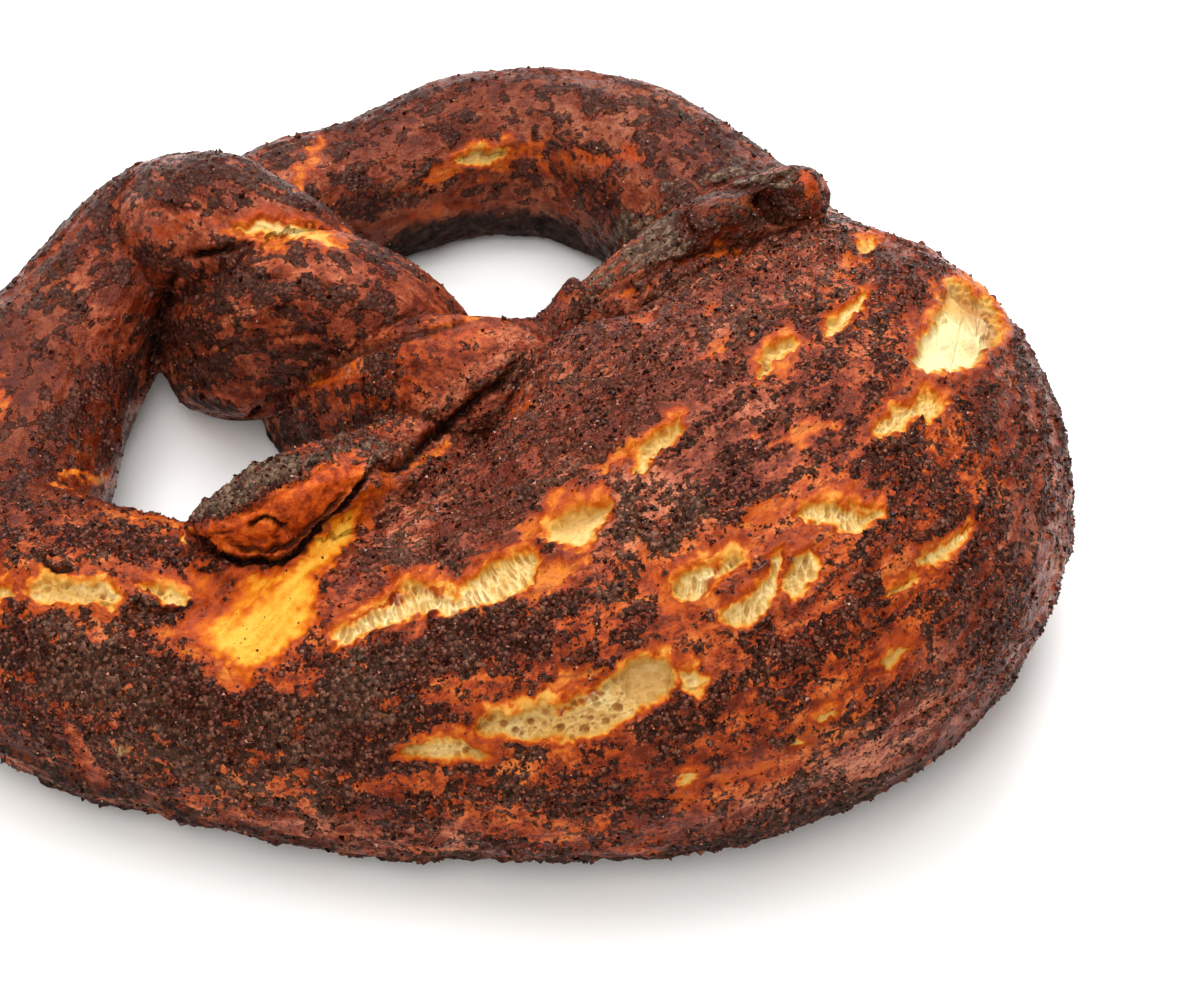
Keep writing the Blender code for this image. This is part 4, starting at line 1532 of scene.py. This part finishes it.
    rough = m.math("ADD", m.math("MULTIPLY", middle, 0.24), 0.11)
    rough = m.math("ADD", rough, m.math("MULTIPLY", cover, 0.14))
    rough = m.math("SUBTRACT", rough, m.math("MULTIPLY", bare, 0.14))
    rough = m.math("ADD", rough, m.span(torn, 0.45, 0.65, 0.0, 0.35), clamp=True)
    rough = m.math("ADD", rough, m.math("MULTIPLY", foot, 0.50), clamp=True)
    m.set("Roughness", rough)
    m.set("Specular IOR Level", 0.12)
    m.set("Specular Tint", (1.0, 0.86, 0.74, 1.0))
    soft = m.math("MULTIPLY", m.math("MAXIMUM", m.span(torn, 0.45, 0.8), dough), 0.16)
    m.set("Subsurface Weight", soft)
    m.set("Subsurface Radius", (1.0, 0.45, 0.18))
    m.set("Subsurface Scale", 1.2 * MM)

    height = m.math("MULTIPLY", m.math("SUBTRACT", 1.25, grit), cover)
    height = m.math("MULTIPLY", height, m.span(melt, 0.0, 1.0, 1.0, 0.60))
    height = m.math("ADD", height, m.math("MULTIPLY", fine, 0.55))
    height = m.math("ADD", height, m.math("MULTIPLY", drawn, 0.80))
    m.bump(height, 0.42, 1.0)
    return m.material


def grain_material(name, stops, rough, level):
    m = Shade(name)
    tone = m.attribute("tone")
    fine = m.noise(0.3, 2.0, 0.6)
    x = m.math("ADD", tone, m.math("MULTIPLY", m.math("SUBTRACT", fine, 0.5), 0.4))
    m.set("Base Color", m.ramp(x, stops))
    m.set("Roughness", m.math("ADD", m.math("MULTIPLY", fine, 0.25), rough))
    m.set("Specular IOR Level", level)
    m.bump(fine, 0.05, 0.5)
    return m.material


def floor_material():
    m = Shade("studio_floor")
    fine = m.noise(40.0, 2.0, 0.5)
    m.set("Base Color", m.ramp(fine, ((0.3, (0.93, 0.93, 0.925, 1)), (0.7, (0.95, 0.95, 0.95, 1)))))
    m.set("Roughness", 0.8)
    m.set("Specular IOR Level", 0.1)
    return m.material


# -------------------------------------------------------- loose grains ----
def turned(rng, n):
    q = rng.normal(size=(n, 4))
    q /= np.linalg.norm(q, axis=1)[:, None]
    w, x, y, z = q.T
    return np.stack(
        (
            np.stack((1 - 2 * (y * y + z * z), 2 * (x * y - z * w), 2 * (x * z + y * w)), -1),
            np.stack((2 * (x * y + z * w), 1 - 2 * (x * x + z * z), 2 * (y * z - x * w)), -1),
            np.stack((2 * (x * z - y * w), 2 * (y * z + x * w), 1 - 2 * (x * x + y * y)), -1),
        ),
        1,
    )


EIGHT_SIDED = (
    ((1, 0, 0), (-1, 0, 0), (0, 1, 0), (0, -1, 0), (0, 0, 1), (0, 0, -1)),
    ((0, 2, 4), (2, 1, 4), (1, 3, 4), (3, 0, 4), (2, 0, 5), (1, 2, 5), (3, 1, 5), (0, 3, 5)),
)
FOUR_SIDED = (
    ((1, 1, 1), (-1, -1, 1), (-1, 1, -1), (1, -1, -1)),
    ((0, 1, 3), (0, 2, 1), (0, 3, 2), (1, 2, 3)),
)


def scatter(name, skin, weight, count, radius, sink, seed, material, form, spread=0.3):
    """Rough grains, each of its own size and turn, set into the surface."""
    rng = np.random.default_rng(seed)
    v, f = skin.v, skin.f
    a, b, c = v[f[:, 0]], v[f[:, 1]], v[f[:, 2]]
    area = 0.5 * np.linalg.norm(np.cross(b - a, c - a), axis=1)
    w = area * weight[f].mean(1)
    w[v[f][:, :, 2].max(1) < 0.3] = 0
    total = np.cumsum(w)
    pick = np.searchsorted(total, rng.random(count) * total[-1])
    pick = np.minimum(pick, len(f) - 1)
    r1, r2 = np.sqrt(rng.random(count)), rng.random(count)
    place = (
        (1 - r1)[:, None] * a[pick]
        + (r1 * (1 - r2))[:, None] * b[pick]
        + (r1 * r2)[:, None] * c[pick]
    )
    normal = skin.n[f[pick]].mean(1)
    normal /= np.linalg.norm(normal, axis=1)[:, None]
    size = radius * np.exp(spread * rng.normal(size=count))
    size = np.clip(size, radius * 0.5, radius * 1.9)
    shape, faces = np.array(form[0], float), np.array(form[1])
    k = len(shape)
    shape = shape / np.linalg.norm(shape, axis=1)[:, None]
    corners = shape[None] * rng.uniform(0.65, 1.3, (count, k, 1))
    corners = corners * rng.uniform(0.7, 1.25, (count, 1, 3))
    corners = np.einsum("nij,nkj->nki", turned(rng, count), corners)
    corners = corners * size[:, None, None]
    middle = place + normal * (size * (1 - 2 * sink))[:, None]
    p = middle[:, None] + corners
    p[:, :, 2] = np.maximum(p[:, :, 2], 0.02)
    all_f = (faces[None] + k * np.arange(count)[:, None, None]).reshape(-1, 3)
    tone = np.repeat(rng.random(count), k)
    obj = write_mesh(name, p.reshape(-1, 3), all_f, {"tone": tone}, smooth=False)
    obj.data.materials.append(material)
    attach(obj, "root")
    return obj


# --------------------------------------------------------------- scene ----
def make_pretzel():
    skin = build_skin()
    body = write_mesh("crust", skin.v, skin.f, skin.paint)
    body.data.materials.append(crust_material())
    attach(body, "root")
    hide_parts("pretzel")

    many = 1.0
    clean = ease(-1.0, -6.0, skin.tear) * (1 - ease(0.02, 0.2, skin.paint["dough"]))
    clean = clean * (1 - 0.95 * skin.paint["bare"]) * (1 - 0.85 * skin.paint["shade"])
    clean = clean * (1 - 0.72 * skin.paint["melt"]) * (1 - 0.8 * skin.paint["foot"])
    thick = ease(0.45, 0.95, skin.crust)
    crumbs = grain_material(
        "dark_crumbs",
        ((0.0, rgb(22, 6, 2)), (0.45, rgb(46, 15, 7)), (0.75, rgb(88, 38, 23)),
         (1.0, rgb(132, 78, 56))),
        0.12, 0.10,
    )
    scatter(
        "dark_crumbs", skin, (thick + 0.05 * skin.share) * clean,
        int(5600 * many), 0.24, 0.46, 5, crumbs, EIGHT_SIDED, 0.4,
    )
    scatter(
        "fine_crumbs", skin,
        (0.5 * thick + 0.7 * skin.share + 0.08) * clean + 0.12 * skin.paint["dough"],
        int(15000 * many), 0.16, 0.42, 6, crumbs, FOUR_SIDED, 0.4,
    )
    sugar = grain_material(
        "sugar_grains",
        ((0.0, rgb(96, 34, 16)), (0.6, rgb(146, 64, 38)), (0.93, rgb(176, 106, 78)),
         (1.0, rgb(200, 154, 124))),
        0.10, 0.35,
    )
    scatter(
        "sugar_grains", skin, (0.45 * thick + 0.45 * skin.share + 0.12) * clean,
        int(11000 * many), 0.15, 0.40, 7, sugar, FOUR_SIDED, 0.4,
    )
    return skin


def area_light(name, place, target, size, watts, colour):
    light = bpy.data.lights.new(name, "AREA")
    light.shape = "RECTANGLE"
    light.size, light.size_y = size
    light.energy = watts
    light.color = colour
    obj = bpy.data.objects.new(name, light)
    obj.location = Vector(place) * MM
    way = Vector(np.asarray(target, float) - np.asarray(place, float))
    obj.rotation_euler = way.to_track_quat("-Z", "Y").to_euler()
    bpy.context.scene.collection.objects.link(obj)
    return obj


def make_studio():
    scene = bpy.context.scene
    scene.view_settings.view_transform = "Standard"
    scene.view_settings.look = "None"
    scene.view_settings.exposure = 0.0
    scene.view_settings.gamma = 1.0
    world = bpy.data.worlds.new("studio_air")
    world.use_nodes = True
    back = world.node_tree.nodes["Background"]
    back.inputs["Color"].default_value = (1.0, 0.985, 0.96, 1.0)
    back.inputs["Strength"].default_value = 0.46
    scene.world = world

    bpy.ops.mesh.primitive_plane_add(size=6.0, location=(0.0, 0.0, -0.00005))
    floor = bpy.context.object
    floor.name = "studio_floor"
    floor.data.materials.append(floor_material())

    away = -CAM_BACK * (1, 1, 0)
    away /= np.linalg.norm(away)
    over = np.array((0.0, 0.0, 1.0))
    centre = np.array((0.0, 0.0, 15.0))
    area_light(
        "window", centre + 520 * away + 40 * CAM_RIGHT + 560 * over, centre,
        (0.55, 0.42), 6.0, (0.97, 0.98, 1.0),
    )
    area_light(
        "ceiling", centre + 40 * away - 60 * CAM_RIGHT + 900 * over, centre,
        (0.8, 0.8), 6.4, (1.0, 0.99, 0.98),
    )
    area_light(
        "front_fill", centre - 560 * away - 60 * CAM_RIGHT + 660 * over, centre,
        (0.5, 0.5), 4.4, (1.0, 0.98, 0.95),
    )


def make_camera():
    cam = bpy.data.cameras.new("camera")
    cam.sensor_fit = "HORIZONTAL"
    cam.sensor_width = 36.0
    cam.lens = CAM_FOCAL_PX * 36.0 / VIEW_W
    cam.clip_start, cam.clip_end = 0.01, 20.0
    obj = bpy.data.objects.new("camera", cam)
    turn = Matrix(np.column_stack((CAM_RIGHT, CAM_UP, CAM_BACK)).tolist()).to_4x4()
    obj.matrix_world = Matrix.Translation(Vector(CAM_PLACE * MM)) @ turn
    bpy.context.scene.collection.objects.link(obj)
    bpy.context.scene.camera = obj


make_camera()
make_studio()
make_pretzel()
